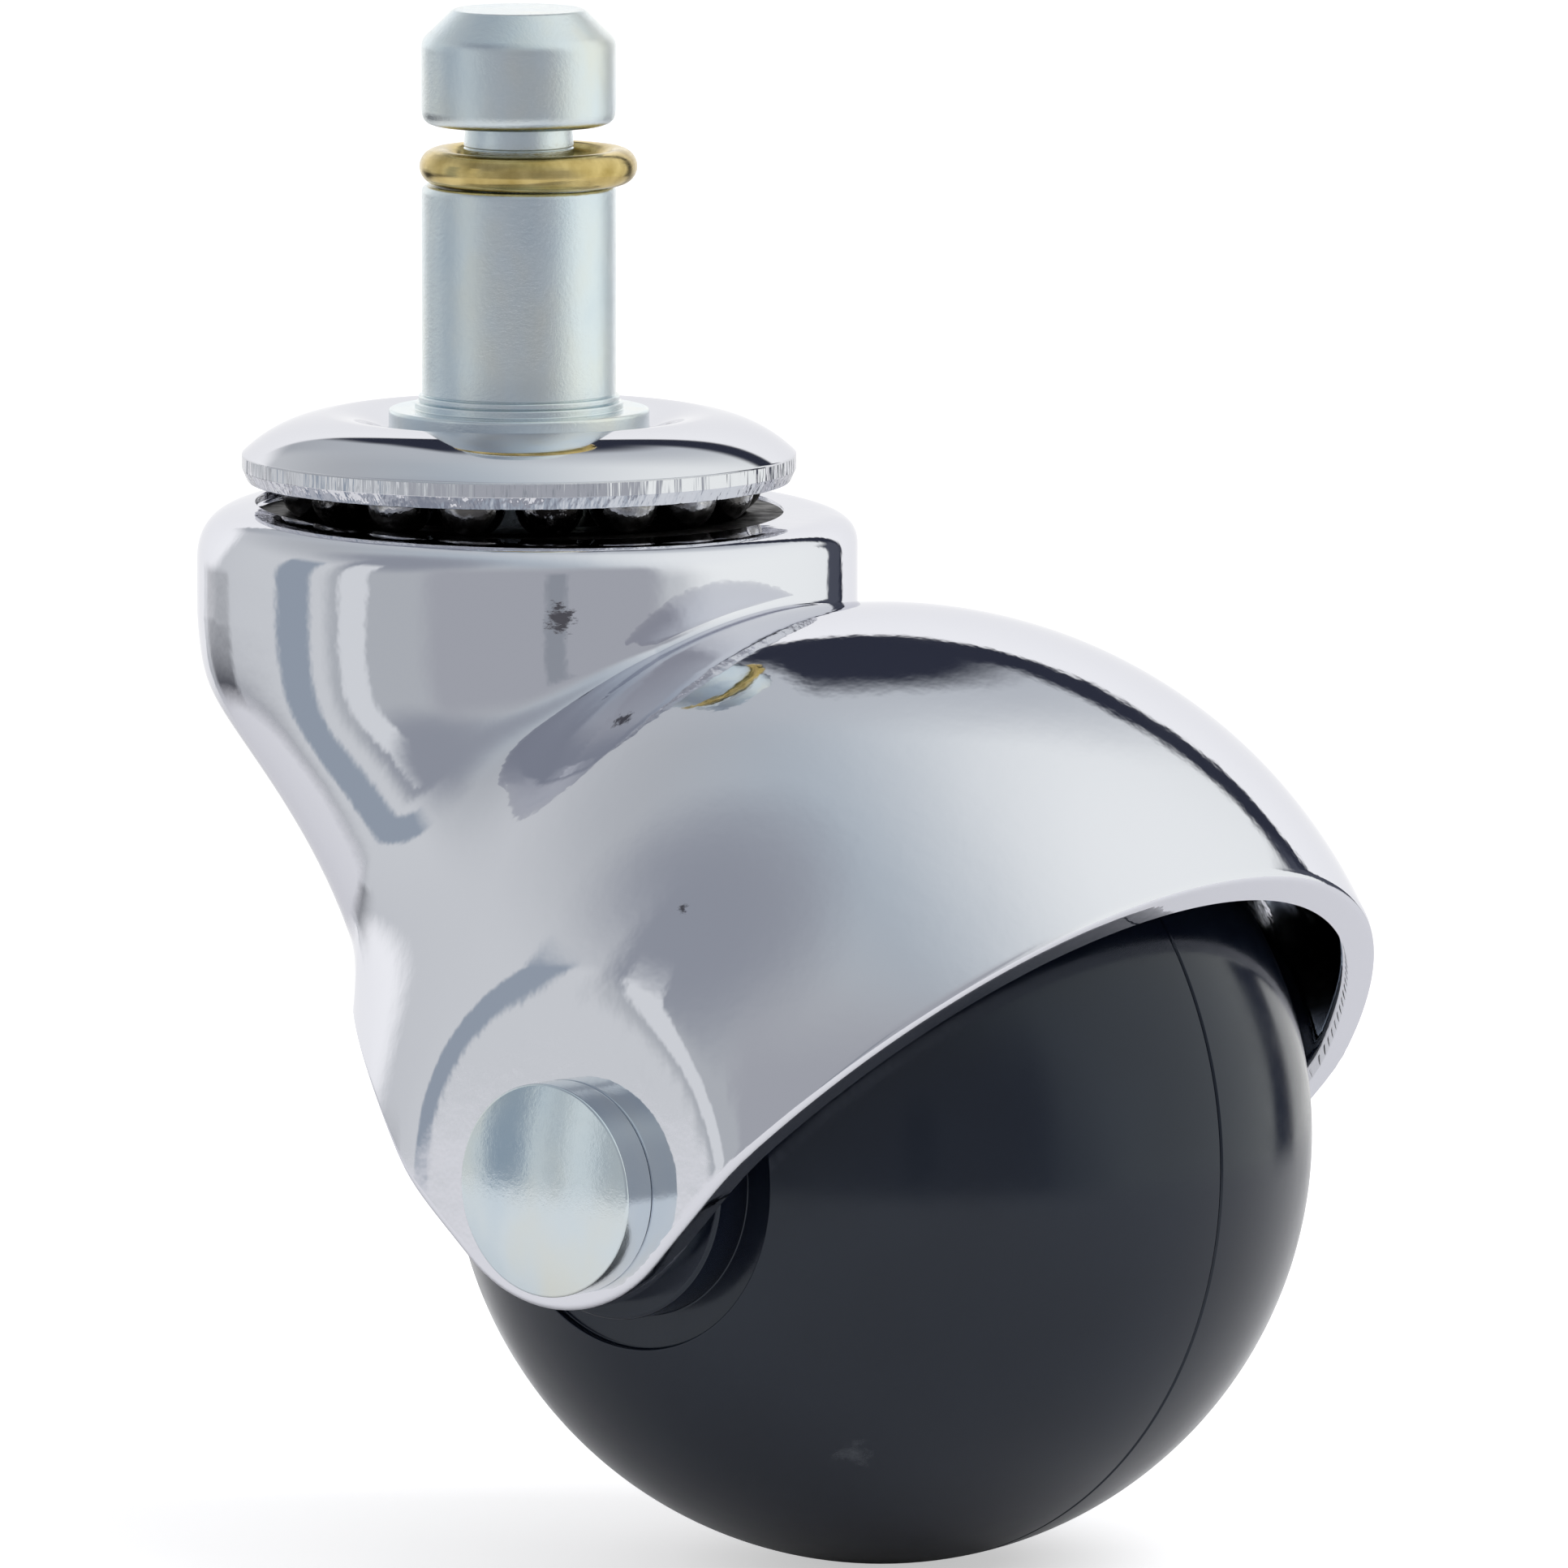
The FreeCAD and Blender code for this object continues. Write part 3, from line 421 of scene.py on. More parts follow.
def signed_volume(mesh):
    """Volume by the divergence of the mesh: negative where the faces point inwards."""
    mesh.calc_loop_triangles()
    points = np.zeros(len(mesh.vertices) * 3)
    mesh.vertices.foreach_get("co", points)
    points = points.reshape(-1, 3)
    corners = np.zeros(len(mesh.loop_triangles) * 3, dtype=np.int64)
    mesh.loop_triangles.foreach_get("vertices", corners)
    a, b, c = (points[corners.reshape(-1, 3)[:, k]] for k in range(3))
    return float(np.einsum("ij,ij->i", a, np.cross(b, c)).sum() / 6)


def outwards(piece):
    """Point the faces of a closed piece outwards, and print its size."""
    if signed_volume(piece.data) < 0:
        piece.data.flip_normals()
    print(f"{piece.name}: {len(piece.data.polygons)} faces, {signed_volume(piece.data) / MM ** 3:.0f} mm3")
    return piece


def turned(name, corners, material, along="Z", centre=(0, 0, 0), sides=192):
    """Turn an outline of (radius, height) about Z or Y through a centre."""
    closed = corners[0][0] > 0 and corners[-1][0] > 0
    points = rounded(corners, closed)
    vertices, rings = [], []
    for radius, height in points:
        ring = []
        for side in range(1 if radius < 1e-6 else sides):
            angle = 2 * math.pi * side / sides
            flat = (radius * math.cos(angle), radius * math.sin(angle))
            local = (flat[0], flat[1], height) if along == "Z" else (flat[0], height, flat[1])
            ring.append(len(vertices))
            vertices.append([local[k] + centre[k] for k in range(3)])
        rings.append(ring)
    faces = []
    for index in range(len(rings) if closed else len(rings) - 1):
        low, high = rings[index], rings[(index + 1) % len(rings)]
        for side in range(sides):
            after = (side + 1) % sides
            quad = [low[side % len(low)], low[after % len(low)], high[after % len(high)], high[side % len(high)]]
            corners_used = list(dict.fromkeys(quad))
            if len(corners_used) > 2:
                faces.append(corners_used)
    return outwards(mesh_object(name, vertices, faces, material))


# %% [markdown]
# ## What a piece stands for
# The frame has to know two things of each piece: the solids it takes the place of, and the body it
# moves with.


# %% Tell the frame
def stand_for(piece, slot, body, *nodes):
    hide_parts(*nodes)
    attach(piece, body)


# %% [markdown]
# ## The stem
# The stem is one turned steel pin: a cap with a bevelled tip, a groove for the ring, the shank, a
# thin band and the collar that the leg rests on. Below the collar the kingpin goes through the disc
# and the head to the riveted tail.

# %% Stem
CAP_TOP, CAP_FOOT, SHANK_TOP, KINGPIN_RADIUS = 22.87, 16.27, 12.82, 4.0
NECK_RADIUS, TAIL_RADIUS, TAIL_HEAD, TAIL_FOOT = 3.15, 3.2, 4.9, CONE_FOOT - 1.5
groove = STEM_RADIUS - 0.12
# cap, neck with one fine turned groove, shank, foot band between two grooves, collar, kingpin, tail
stem = turned("stem_turned", [
    (0, CAP_TOP), (3.75, CAP_TOP, 0.35), (STEM_RADIUS, CAP_TOP - 1.75, 0.9), (STEM_RADIUS, CAP_FOOT, 0.85),
    (NECK_RADIUS - 0.11, CAP_FOOT, 0.1), (NECK_RADIUS, 15.07, 0.03), (NECK_RADIUS - 0.12, 15.0),
    (NECK_RADIUS, 14.93, 0.03), (NECK_RADIUS, SHANK_TOP, 0.1), (STEM_RADIUS, SHANK_TOP, 0.4),
    (STEM_RADIUS, 0.88, 0.05), (groove, 0.88), (groove, 0.8), (5.75, 0.8, 0.1), (5.75, 0.5, 0.05),
    (groove, 0.5), (groove, 0.42), (5.95, 0.42, 0.1), (5.95, 0.0, 0.06), (COLLAR_RADIUS, 0.0, 0.2),
    (COLLAR_RADIUS, COLLAR_FOOT, 0.1), (KINGPIN_RADIUS, COLLAR_FOOT, 0.1), (KINGPIN_RADIUS, CONE_TOP, 0.2),
    (TAIL_RADIUS, CONE_TOP, 0.1), (TAIL_RADIUS, CONE_FOOT, 0.05),
    (TAIL_HEAD, CONE_FOOT, 0.15), (TAIL_HEAD - 1.3, CONE_FOOT - 1.05, 1.0), (0, TAIL_FOOT)], zinc)
stand_for(stem, "zinc_plated_steel", "stem_unit", "stem")

# %% [markdown]
# ## The grip ring
# A split ring of round wire lies loose in the groove and leans against one side of it. It is a
# circle swept along an arc that stops short of a full turn, with its two cut ends closed.


# %% Ring of bent wire
def bent_ring(name, mean, wire, gap, gap_at, centre, material, sections=150, around=28):
    vertices, faces = [], []
    start, sweep = math.radians(gap_at + gap / 2), math.radians(360 - gap)
    for section in range(sections + 1):
        turn = start + sweep * section / sections
        for step in range(around):
            angle = 2 * math.pi * step / around
            reach = mean + wire * math.cos(angle)
            vertices.append([centre[0] + reach * math.cos(turn), centre[1] + reach * math.sin(turn),
                             centre[2] + wire * math.sin(angle)])
    for section in range(sections):
        for step in range(around):
            after = (step + 1) % around
            a, b = section * around, (section + 1) * around
            faces.append([a + step, b + step, b + after, a + after])
    faces.append(list(range(around)))
    faces.append([sections * around + step for step in reversed(range(around))])
    piece = mesh_object(name, vertices, faces, material)
    for end in piece.data.polygons[-2:]:
        end.use_smooth = False
    return outwards(piece)


RING_DIAMETER, RING_WIRE, RING_GAP, RING_PLAY = 12.44, 2.05, 22.0, 0.55
AWAY = 128.6    # the compass direction away from the photograph's viewer, in degrees, where the gap is
lean, wire = math.radians(AWAY - 90), RING_WIRE / 2
grip_ring = bent_ring("grip_ring_bent", RING_DIAMETER / 2 - wire, wire, RING_GAP, AWAY, (
    RING_PLAY * math.cos(lean), RING_PLAY * math.sin(lean), SHANK_TOP + wire + SEAT_GAP), brass)
stand_for(grip_ring, "spring_brass", "stem_unit", "grip_ring")

# %% [markdown]
# ## The pressed disc
# The disc arches over the ball track: it rises from the collar to a crown, falls in a wide shoulder
# to the rim, and the cut rim hangs down with a small burr.

# %% Disc
crown, shoulder = (11.0, DISC_CROWN), (DISC_RADIUS, COLLAR_FOOT - 1.35)
RIM_FOOT = shoulder[1] - 0.85
UPPER_TRACK = UPPER_BALL / 2 + TRACK_GAP


def track(pitch, level, radius, edge, side):
    """Both ends and the arc of a ball track, from its outer end. Side +1 has the ball below it."""
    reach = math.sqrt(radius ** 2 - (edge - level) ** 2)
    outer, inner = (pitch + reach, edge), (pitch - reach, edge)
    return [(*outer, 0.1), *arc(outer, inner, radius, side), (*inner, 0.1)]


disc = turned("disc_pressed", [
    (DISC_BORE, COLLAR_FOOT), (7.65, COLLAR_FOOT, 0.2), *arc((7.65, COLLAR_FOOT), crown, 6.5, -1, 16), crown,
    *arc(crown, shoulder, 8.0, -1, 28), (*shoulder, 0.15), (DISC_RADIUS, RIM_FOOT, 0.08),
    (DISC_RADIUS - 0.35, RIM_FOOT - 0.75, 0.08),
    *track(UPPER_PITCH, UPPER_LEVEL - TRACK_GAP + SEAT_GAP, UPPER_TRACK, RIM_FOOT, 1),
    (9.5, COLLAR_FOOT - 1.6, 0.1), (DISC_BORE, COLLAR_FOOT - 1.6)], disc_chrome, sides=256)
stand_for(disc, "bright_chrome", "stem_unit", "top_race")

# %% [markdown]
# ## Two rows of bearing balls
# Identical balls, evenly spaced on a circle, are what Geometry Nodes do best. The tree puts points
# on a circle, a small sphere on each point, makes the copies real and gives them their steel. The
# count, the pitch and the sizes are named inputs, so the same tree makes both rows.


# %% A tree that makes a ball row
def ball_row_tree():
    tree = bpy.data.node_groups.new("ball_row", "GeometryNodeTree")
    face = tree.interface
    face.new_socket("Geometry", in_out="OUTPUT", socket_type="NodeSocketGeometry")
    for name, kind in (("Balls", "Int"), ("Pitch radius", "Float"), ("Ball radius", "Float"), ("Level", "Float"),
                       ("Steel", "Material")):
        face.new_socket(name, in_out="INPUT", socket_type="NodeSocket" + kind)
    given = add(tree, "NodeGroupInput").outputs
    ring = add(tree, "GeometryNodeMeshCircle", {"Vertices": given["Balls"], "Radius": given["Pitch radius"]})
    ball = add(tree, "GeometryNodeMeshUVSphere", {"Segments": 48, "Rings": 24, "Radius": given["Ball radius"]})
    place = add(tree, "GeometryNodeInstanceOnPoints", {"Points": ring, "Instance": ball})
    level = add(tree, "ShaderNodeCombineXYZ", {"Z": given["Level"]})
    lower = add(tree, "GeometryNodeTranslateInstances", {"Instances": place, "Translation": level})
    real = add(tree, "GeometryNodeRealizeInstances", {0: lower})
    smooth = add(tree, "GeometryNodeSetShadeSmooth", {0: real})
    steel = add(tree, "GeometryNodeSetMaterial", {0: smooth, "Material": given["Steel"]})
    add(tree, "NodeGroupOutput", {0: steel})
    return tree


row_tree = ball_row_tree()


# %% Make a row as a plain mesh
def ball_row(name, values, body, nodes):
    """Run the tree on an empty mesh, keep its result as a plain mesh and drop the modifier."""
    carrier = bpy.data.objects.new(name + "_nodes", bpy.data.meshes.new(name + "_nodes"))
    bpy.context.scene.collection.objects.link(carrier)
    modifier = carrier.modifiers.new("balls", "NODES")
    modifier.node_group = row_tree
    sockets = {item.name: item.identifier for item in row_tree.interface.items_tree if item.in_out == "INPUT"}
    for label, value in values.items():
        modifier[sockets[label]] = value
    seen = carrier.evaluated_get(bpy.context.evaluated_depsgraph_get())
    row = bpy.data.objects.new(name, bpy.data.meshes.new_from_object(seen))
    bpy.context.scene.collection.objects.link(row)
    bpy.data.objects.remove(carrier)
    stand_for(row, "ball_steel", body, *nodes)
    print(name, len(nodes), "balls,", len(row.data.polygons), "faces")
    return row


for name, count, pitch, diameter, level in (("upper", 17, UPPER_PITCH, UPPER_BALL, UPPER_LEVEL),
                                            ("lower", 11, LOWER_PITCH, LOWER_BALL, LOWER_LEVEL)):
    ball_row(f"{name}_bearing_balls", {
        "Balls": count, "Pitch radius": pitch * MM, "Ball radius": diameter / 2 * MM, "Level": level * MM,
        "Steel": ball_steel}, f"{name}_row", [f"{name}_ball_{i + 1:02d}" for i in range(count)])

# %% [markdown]
# ## Races, sleeve and washers
# These sit deep inside and show only through gaps, so each is a plain ring with its track.

# %% Races, sleeve and washers
LOWER_TRACK, LOWER_CUP_FOOT = LOWER_BALL / 2 + TRACK_GAP, LOWER_CUP_TOP - 1.6
UPPER_CUP_BORE, LOWER_CUP_BORE, CONE_BORE, CONE_RADIUS = 8.5, 4.4, TAIL_RADIUS + SEAT_GAP, 7.6
SLEEVE_BORE, SLEEVE_RADIUS, SLEEVE_END = 4.0, 5.0, PAD_FACE - EAR_WALL - SEAT_GAP
HUB_BORE, WASHER_RADIUS, WASHER_THICKNESS = 5.05, 6.1, 1.3
upper_cup = turned("upper_cup_pressed", [
    (UPPER_CUP_BORE, UPPER_CUP_FOOT), (UPPER_CUP_RADIUS, UPPER_CUP_FOOT), (UPPER_CUP_RADIUS, UPPER_CUP_TOP, 0.1),
    *track(UPPER_PITCH, UPPER_LEVEL + TRACK_GAP - SEAT_GAP, UPPER_TRACK, UPPER_CUP_TOP, -1),
    (UPPER_CUP_BORE, UPPER_CUP_TOP)], race_steel)
lower_cup = turned("lower_cup_pressed", [
    (LOWER_CUP_BORE, LOWER_CUP_TOP), (LOWER_CUP_RADIUS, LOWER_CUP_TOP), (LOWER_CUP_RADIUS, LOWER_CUP_FOOT),
    *track(LOWER_PITCH, LOWER_LEVEL - TRACK_GAP + SEAT_GAP, LOWER_TRACK, LOWER_CUP_FOOT, 1),
    (LOWER_CUP_BORE, LOWER_CUP_FOOT)], race_steel, sides=96)
lower_cone = turned("lower_cone_turned", [
    (CONE_BORE, CONE_FOOT), (CONE_RADIUS, CONE_FOOT, 0.2), (CONE_RADIUS, CONE_TOP, 0.1),
    *track(LOWER_PITCH, LOWER_LEVEL + TRACK_GAP - SEAT_GAP, LOWER_TRACK, CONE_TOP, -1),
    (CONE_BORE, CONE_TOP)], race_steel, sides=96)
sleeve = turned("axle_sleeve_tube", [
    (SLEEVE_BORE, -SLEEVE_END), (SLEEVE_RADIUS, -SLEEVE_END), (SLEEVE_RADIUS, SLEEVE_END),
    (SLEEVE_BORE, SLEEVE_END)], zinc, "Y", AXLE_CENTRE, 96)
for piece, node, body in ((upper_cup, "upper_cup", "swivel"), (lower_cup, "lower_cup", "swivel"),
                          (lower_cone, "lower_cone", "stem_unit"), (sleeve, "axle_sleeve", "swivel")):
    stand_for(piece, "race_steel", body, node)
for side, node in ((-1, "near_washer"), (1, "far_washer")):
    outer_face, inner_face = side * SLEEVE_END, side * (SLEEVE_END - WASHER_THICKNESS)
    washer = turned(node + "_stamped", [
        (HUB_BORE, outer_face), (WASHER_RADIUS, outer_face, 0.12), (WASHER_RADIUS, inner_face, 0.12),
        (HUB_BORE, inner_face)], zinc, "Y", AXLE_CENTRE, 128)
    stand_for(washer, "zinc_plated_steel", "swivel", node)

# %% [markdown]
# ## The axle
# The axle's near head is a low dome with a soft edge, and the far end is formed over when the
# castor is put together.

# %% Axle
AXLE_HEAD, AXLE_ROD, AXLE_TAIL, AXLE_SEAT = 6.0, 3.95, 5.2, PAD_FACE + SEAT_GAP
head_side, head_top, tail_top = AXLE_SEAT + 2.2, AXLE_SEAT + 3.0, AXLE_SEAT + 2.1
axle = turned("axle_headed", [
    (0, -head_top), *arc((0, -head_top), (AXLE_HEAD, -head_side), 22.9, 1, 20), (AXLE_HEAD, -head_side, 0.5),
    (AXLE_HEAD, -AXLE_SEAT, 0.15), (AXLE_ROD, -AXLE_SEAT), (AXLE_ROD, AXLE_SEAT), (AXLE_TAIL, AXLE_SEAT, 0.2),
    *arc((AXLE_TAIL, AXLE_SEAT), (0, tail_top), 7.49, 1, 16), (0, tail_top)], headed_zinc, "Y", AXLE_CENTRE, 160)
stand_for(axle, "zinc_plated_steel", "swivel", "axle")

# %% [markdown]
# ## The moulded ball
# Two hollow halves meet in a fine seam. Each has a hub with a recessed ring where the sleeve goes
# through. Only the outside and the hub show, so the halves are turned with a plain inside.


# %% Ball halves
HUB_RADIUS, HUB_END, TUBE_RADIUS = 7.9, 24.4, 8.8
RECESS_RADIUS, RECESS_DEPTH, BALL_WALL, SEAM_BEVEL = 9.8, 0.5, 3.4, 0.14


def ball_half(name, side):
    reach = math.sqrt(BALL_RADIUS ** 2 - RECESS_RADIUS ** 2)
    seam = math.sqrt(BALL_RADIUS ** 2 - SEAM_BEVEL ** 2)
    inside = BALL_RADIUS - BALL_WALL
    tube_end = math.sqrt(inside ** 2 - TUBE_RADIUS ** 2)

    def at(radius, height, rounding=0.0):
        return (radius, side * height, rounding)

    return turned(name, [
        at(HUB_BORE, 0), at(TUBE_RADIUS, 0), at(TUBE_RADIUS, tube_end),
        *arc(at(TUBE_RADIUS, tube_end), at(inside, 0), inside, -side, 24), at(inside, 0),
        at(BALL_RADIUS - SEAM_BEVEL, 0), at(seam, SEAM_BEVEL, 0.05),
        *arc(at(seam, SEAM_BEVEL), at(RECESS_RADIUS, reach), BALL_RADIUS, side, 90),
        at(RECESS_RADIUS, reach, 0.12), at(RECESS_RADIUS, reach - RECESS_DEPTH, 0.1),
        at(HUB_RADIUS, reach - RECESS_DEPTH, 0.1), at(HUB_RADIUS, HUB_END, 0.25), at(HUB_BORE, HUB_END, 0.1),
    ], black_plastic, "Y", AXLE_CENTRE, 256)


for name, side in (("near_ball_half", -1), ("far_ball_half", 1)):
    stand_for(ball_half(name + "_moulded", side), "black_plastic", "ball", name)

# %% [markdown]
# ## The casting as a distance field
# The housing is the hard piece: a round head, a leaning neck and a spherical hood that flow into
# each other, two flat pads on the ears, and a rim cut by slanting planes. Modelled by hand, such
# blends dent the reflections. Here each simple form is a formula that is negative inside it. The
# formulas are joined by a soft minimum, which fills the crease between two forms with a fillet, and
# cut by a soft maximum, which rounds the cut's edge.


# %% Soft minimum and maximum
def soft_min(a, b, width):
    """The smaller of two distances, with a fillet of about this width where they meet."""
    mix = np.maximum(width - np.abs(a - b), 0) / width
    return np.minimum(a, b) - mix ** 2 * width / 4


def soft_max(a, b, width):
    return -soft_min(-a, -b, width)


HEAD_X, HEAD_RADIUS, HEAD_TOP = 0.6, 18.9, -5.05
NECK_START, NECK_KNEE, KNEE_SOFT, NECK_SWELL = WEB - 0.8, -15.87, 1.07, 0.585
NECK_FOOT, NECK_FOOT_X, NECK_FOOT_RADIUS = 4.0 - AXLE_DROP, TRAIL - 5.9, 24.2
HEAD_FALL = math.tan(math.radians(1.5))
NECK_WALL, NECK_SLANT = 2.4, 0.8


# %% [markdown]
# The head is an upright cylinder with a sloping, rounded top. The neck is a stack of circles whose
# centre moves towards the ball and whose radius grows on the way down. Their way follows a
# hyperbola, which is flat above the knee and straight below it, so the circles start to move gently,
# and a swell in the middle of the way gives the neck its rounded back.


# %% Outer form of the casting
def neck_lean(z):
    """A hyperbola that grows from 0 above the knee to the depth below it."""
    below = NECK_KNEE - z
    return (below + np.sqrt(below ** 2 + 4 * KNEE_SOFT ** 2)) / 2


def neck_circle(z, wall=0.0):
    """Centre and radius of the neck's circle at a height."""
    way = (neck_lean(z) - neck_lean(NECK_START)) / (neck_lean(NECK_FOOT) - neck_lean(NECK_START))
    way = np.maximum(way, 0.0)
    along = way + NECK_SWELL * way * (1 - way)
    return HEAD_X + (NECK_FOOT_X - HEAD_X) * along, HEAD_RADIUS + (NECK_FOOT_RADIUS - HEAD_RADIUS) * way - wall


def from_ball(x, y, z):
    """Distance from the ball's centre."""
    return np.sqrt((x - TRAIL) ** 2 + y ** 2 + (z + AXLE_DROP) ** 2)


def head_level(x):
    """Height of the head's top, which falls a little towards the ball."""
    return HEAD_TOP - (x - HEAD_X + HEAD_RADIUS + 2) * HEAD_FALL


def outer_form(x, y, z):
    """Negative inside the casting as if it were solid and uncut below."""
    hood = from_ball(x, y, z) - HOOD_RADIUS
    centre, radius = neck_circle(z)
    neck = (np.hypot(x - centre, y) - radius) * NECK_SLANT
    # the top edge is rounder at the rear, and the crease to the hood is tight in the middle
    neck = soft_max(neck, z - head_level(x), 3.4 - 1.6 * np.clip((x + 10) / 25, 0, 1))
    crease = 0.7 + 2.4 * np.clip((np.abs(y) - 9) / 10, 0, 1)
    return soft_max(soft_min(hood, neck, crease), np.abs(y) - PAD_FACE, 0.5)


# %% [markdown]
# The rim follows a line in the side view: the front slope, the round tip of the ear, the back slope
# and a flatter lip behind. The hollow inside is a smaller sphere with flat cheeks, joined to the
# hollow of the neck.


# %% Rim and hollow
FRONT, BACK, LIP = math.radians(46.5), math.radians(41.8), math.radians(14.0)
FRONT_BELOW, BACK_BELOW, TIP_BELOW, KNEE = 7.0, 8.44, 7.1, -19.0
FRONT_N, BACK_N = (-math.sin(FRONT), math.cos(FRONT)), (math.sin(BACK), math.cos(BACK))


def tip_circle():
    """The circle that touches both slopes and reaches the ear's lowest point."""
    a = FRONT_N[0] / (1 - FRONT_N[1]), (FRONT_BELOW - TIP_BELOW) / (1 - FRONT_N[1])
    b = BACK_N[0] / (1 - BACK_N[1]), (BACK_BELOW - TIP_BELOW) / (1 - BACK_N[1])
    x = (b[1] - a[1]) / (a[0] - b[0])
    z = a[0] * x + a[1]
    return x, z, z + TIP_BELOW


TIP_X, TIP_Z, TIP_RADIUS = tip_circle()
KNEE_Z = (-BACK_BELOW - BACK_N[0] * KNEE) / BACK_N[1]
print("ear tip radius, mm:", round(TIP_RADIUS, 2), "knee at", KNEE, round(KNEE_Z, 2))


def rim_cut(x, y, z):
    """Negative above the rim. The slopes leave a corner, and the tip's circle rounds it."""
    u, w = x - TRAIL, z + AXLE_DROP
    front = -(u * FRONT_N[0] + w * FRONT_N[1]) - FRONT_BELOW
    back = -(u * BACK_N[0] + w * BACK_N[1]) - BACK_BELOW
    lip = -(math.sin(LIP) * (u - KNEE) + math.cos(LIP) * (w - KNEE_Z))
    back = soft_min(back, lip, 3.0)
    ahead = (u - TIP_X) * FRONT_N[1] - (w - TIP_Z) * FRONT_N[0] < 0
    behind = (u - TIP_X) * BACK_N[1] - (w - TIP_Z) * BACK_N[0] > 0
    round_tip = np.hypot(u - TIP_X, w - TIP_Z) - TIP_RADIUS
    return np.where(ahead & behind, round_tip, np.maximum(front, back))


def hollow_form(x, y, z):
    """Negative inside the casting's hollow."""
    hood = soft_max(from_ball(x, y, z) - (HOOD_RADIUS - HOOD_WALL), np.abs(y) - (PAD_FACE - EAR_WALL), 0.6)
    centre, radius = neck_circle(z, NECK_WALL)
    core = soft_max((np.hypot(x - centre, y) - radius) * NECK_SLANT, z - WEB, 1.0)
    return soft_min(hood, core, 1.5)


# %% [markdown]
# ## From the field to a smooth skin
# Every point of the casting's outside can be seen from one point inside the neck. So rays are sent
# out from there in even turns, and each ray's way to the surface is found by halving. On each ray
# column the rows are spread by how much the surface bends, so the roundings get more of them. The
# rim is where the outside meets the hollow.

# %% Rays from inside the neck
EYE = np.array([4.0, 0.0, -27.0])
COLUMNS, OUTER_ROWS, INNER_ROWS = 440, 132, 36


def reach_of(form, turn, tilt, far=75.0):
    """Distance from the eye to the form's surface, for angles round the upright axis and down from it."""
    ray = np.stack([np.sin(tilt) * np.cos(turn), np.sin(tilt) * np.sin(turn), np.cos(tilt)], -1)
    near, distant = np.zeros(tilt.shape), np.full(tilt.shape, far)
    for _ in range(34):
        middle = (near + distant) / 2
        spot = EYE + ray * middle[..., None]
        within = form(spot[..., 0], spot[..., 1], spot[..., 2]) < 0
        near, distant = np.where(within, middle, near), np.where(within, distant, middle)
    return EYE + ray * near[..., None]


def solid_form(x, y, z):
    """Negative inside the casting as if it were solid, with the rim cut and its edge rounded."""
    return soft_max(outer_form(x, y, z), rim_cut(x, y, z), 0.45)


# %% [markdown]
# The top row of the skin is the edge of the round hole over the balls. The bottom row of the
# outside is the rim's inner edge: the tilt at which a ray meets the cut before the hollow's wall.

# %% Top and bottom of each column
HOLE = UPPER_CUP_RADIUS + SEAT_GAP
turns = np.linspace(0, 2 * math.pi, COLUMNS, endpoint=False)


def hole_edge():
    """Points of the hole's edge on the sloping top, one for each column."""
    a, b = np.cos(turns), np.sin(turns)
    along = EYE[0] * a
    reach = -along + np.sqrt(along ** 2 - (EYE[0] ** 2 - HOLE ** 2))
    x, y = EYE[0] + reach * a, reach * b
    return np.stack([x, y, head_level(x)], -1)


def rim_tilts():
    """Tilt of the rim's inner edge for each column, by halving."""
    low, high = np.full(COLUMNS, 1.2), np.full(COLUMNS, 2.5)
    for _ in range(26):
        middle = (low + high) / 2
        wall = reach_of(hollow_form, turns, middle)
        above = rim_cut(wall[:, 0], wall[:, 1], wall[:, 2]) < 0
        low, high = np.where(above, middle, low), np.where(above, high, middle)
    return low


top_edge = hole_edge()
top_tilt = np.arctan2(np.hypot(top_edge[:, 0] - EYE[0], top_edge[:, 1]), top_edge[:, 2] - EYE[2])
rim_tilt = rim_tilts()
print("rim tilt from", round(math.degrees(rim_tilt.min()), 1),
      "to", round(math.degrees(rim_tilt.max()), 1), "degrees")


# %% Spread the rows by how the surface bends
BEND_WEIGHT, SPREAD = 2.2, 6


def slope_of(form, spots):
    """Outward unit normals of a form at its surface points."""
    step = 0.01
    x, y, z = spots[..., 0], spots[..., 1], spots[..., 2]
    parts = [form(x + step, y, z) - form(x - step, y, z), form(x, y + step, z) - form(x, y - step, z),
             form(x, y, z + step) - form(x, y, z - step)]
    normal = np.stack(parts, -1)
    return normal / np.linalg.norm(normal, axis=-1, keepdims=True)


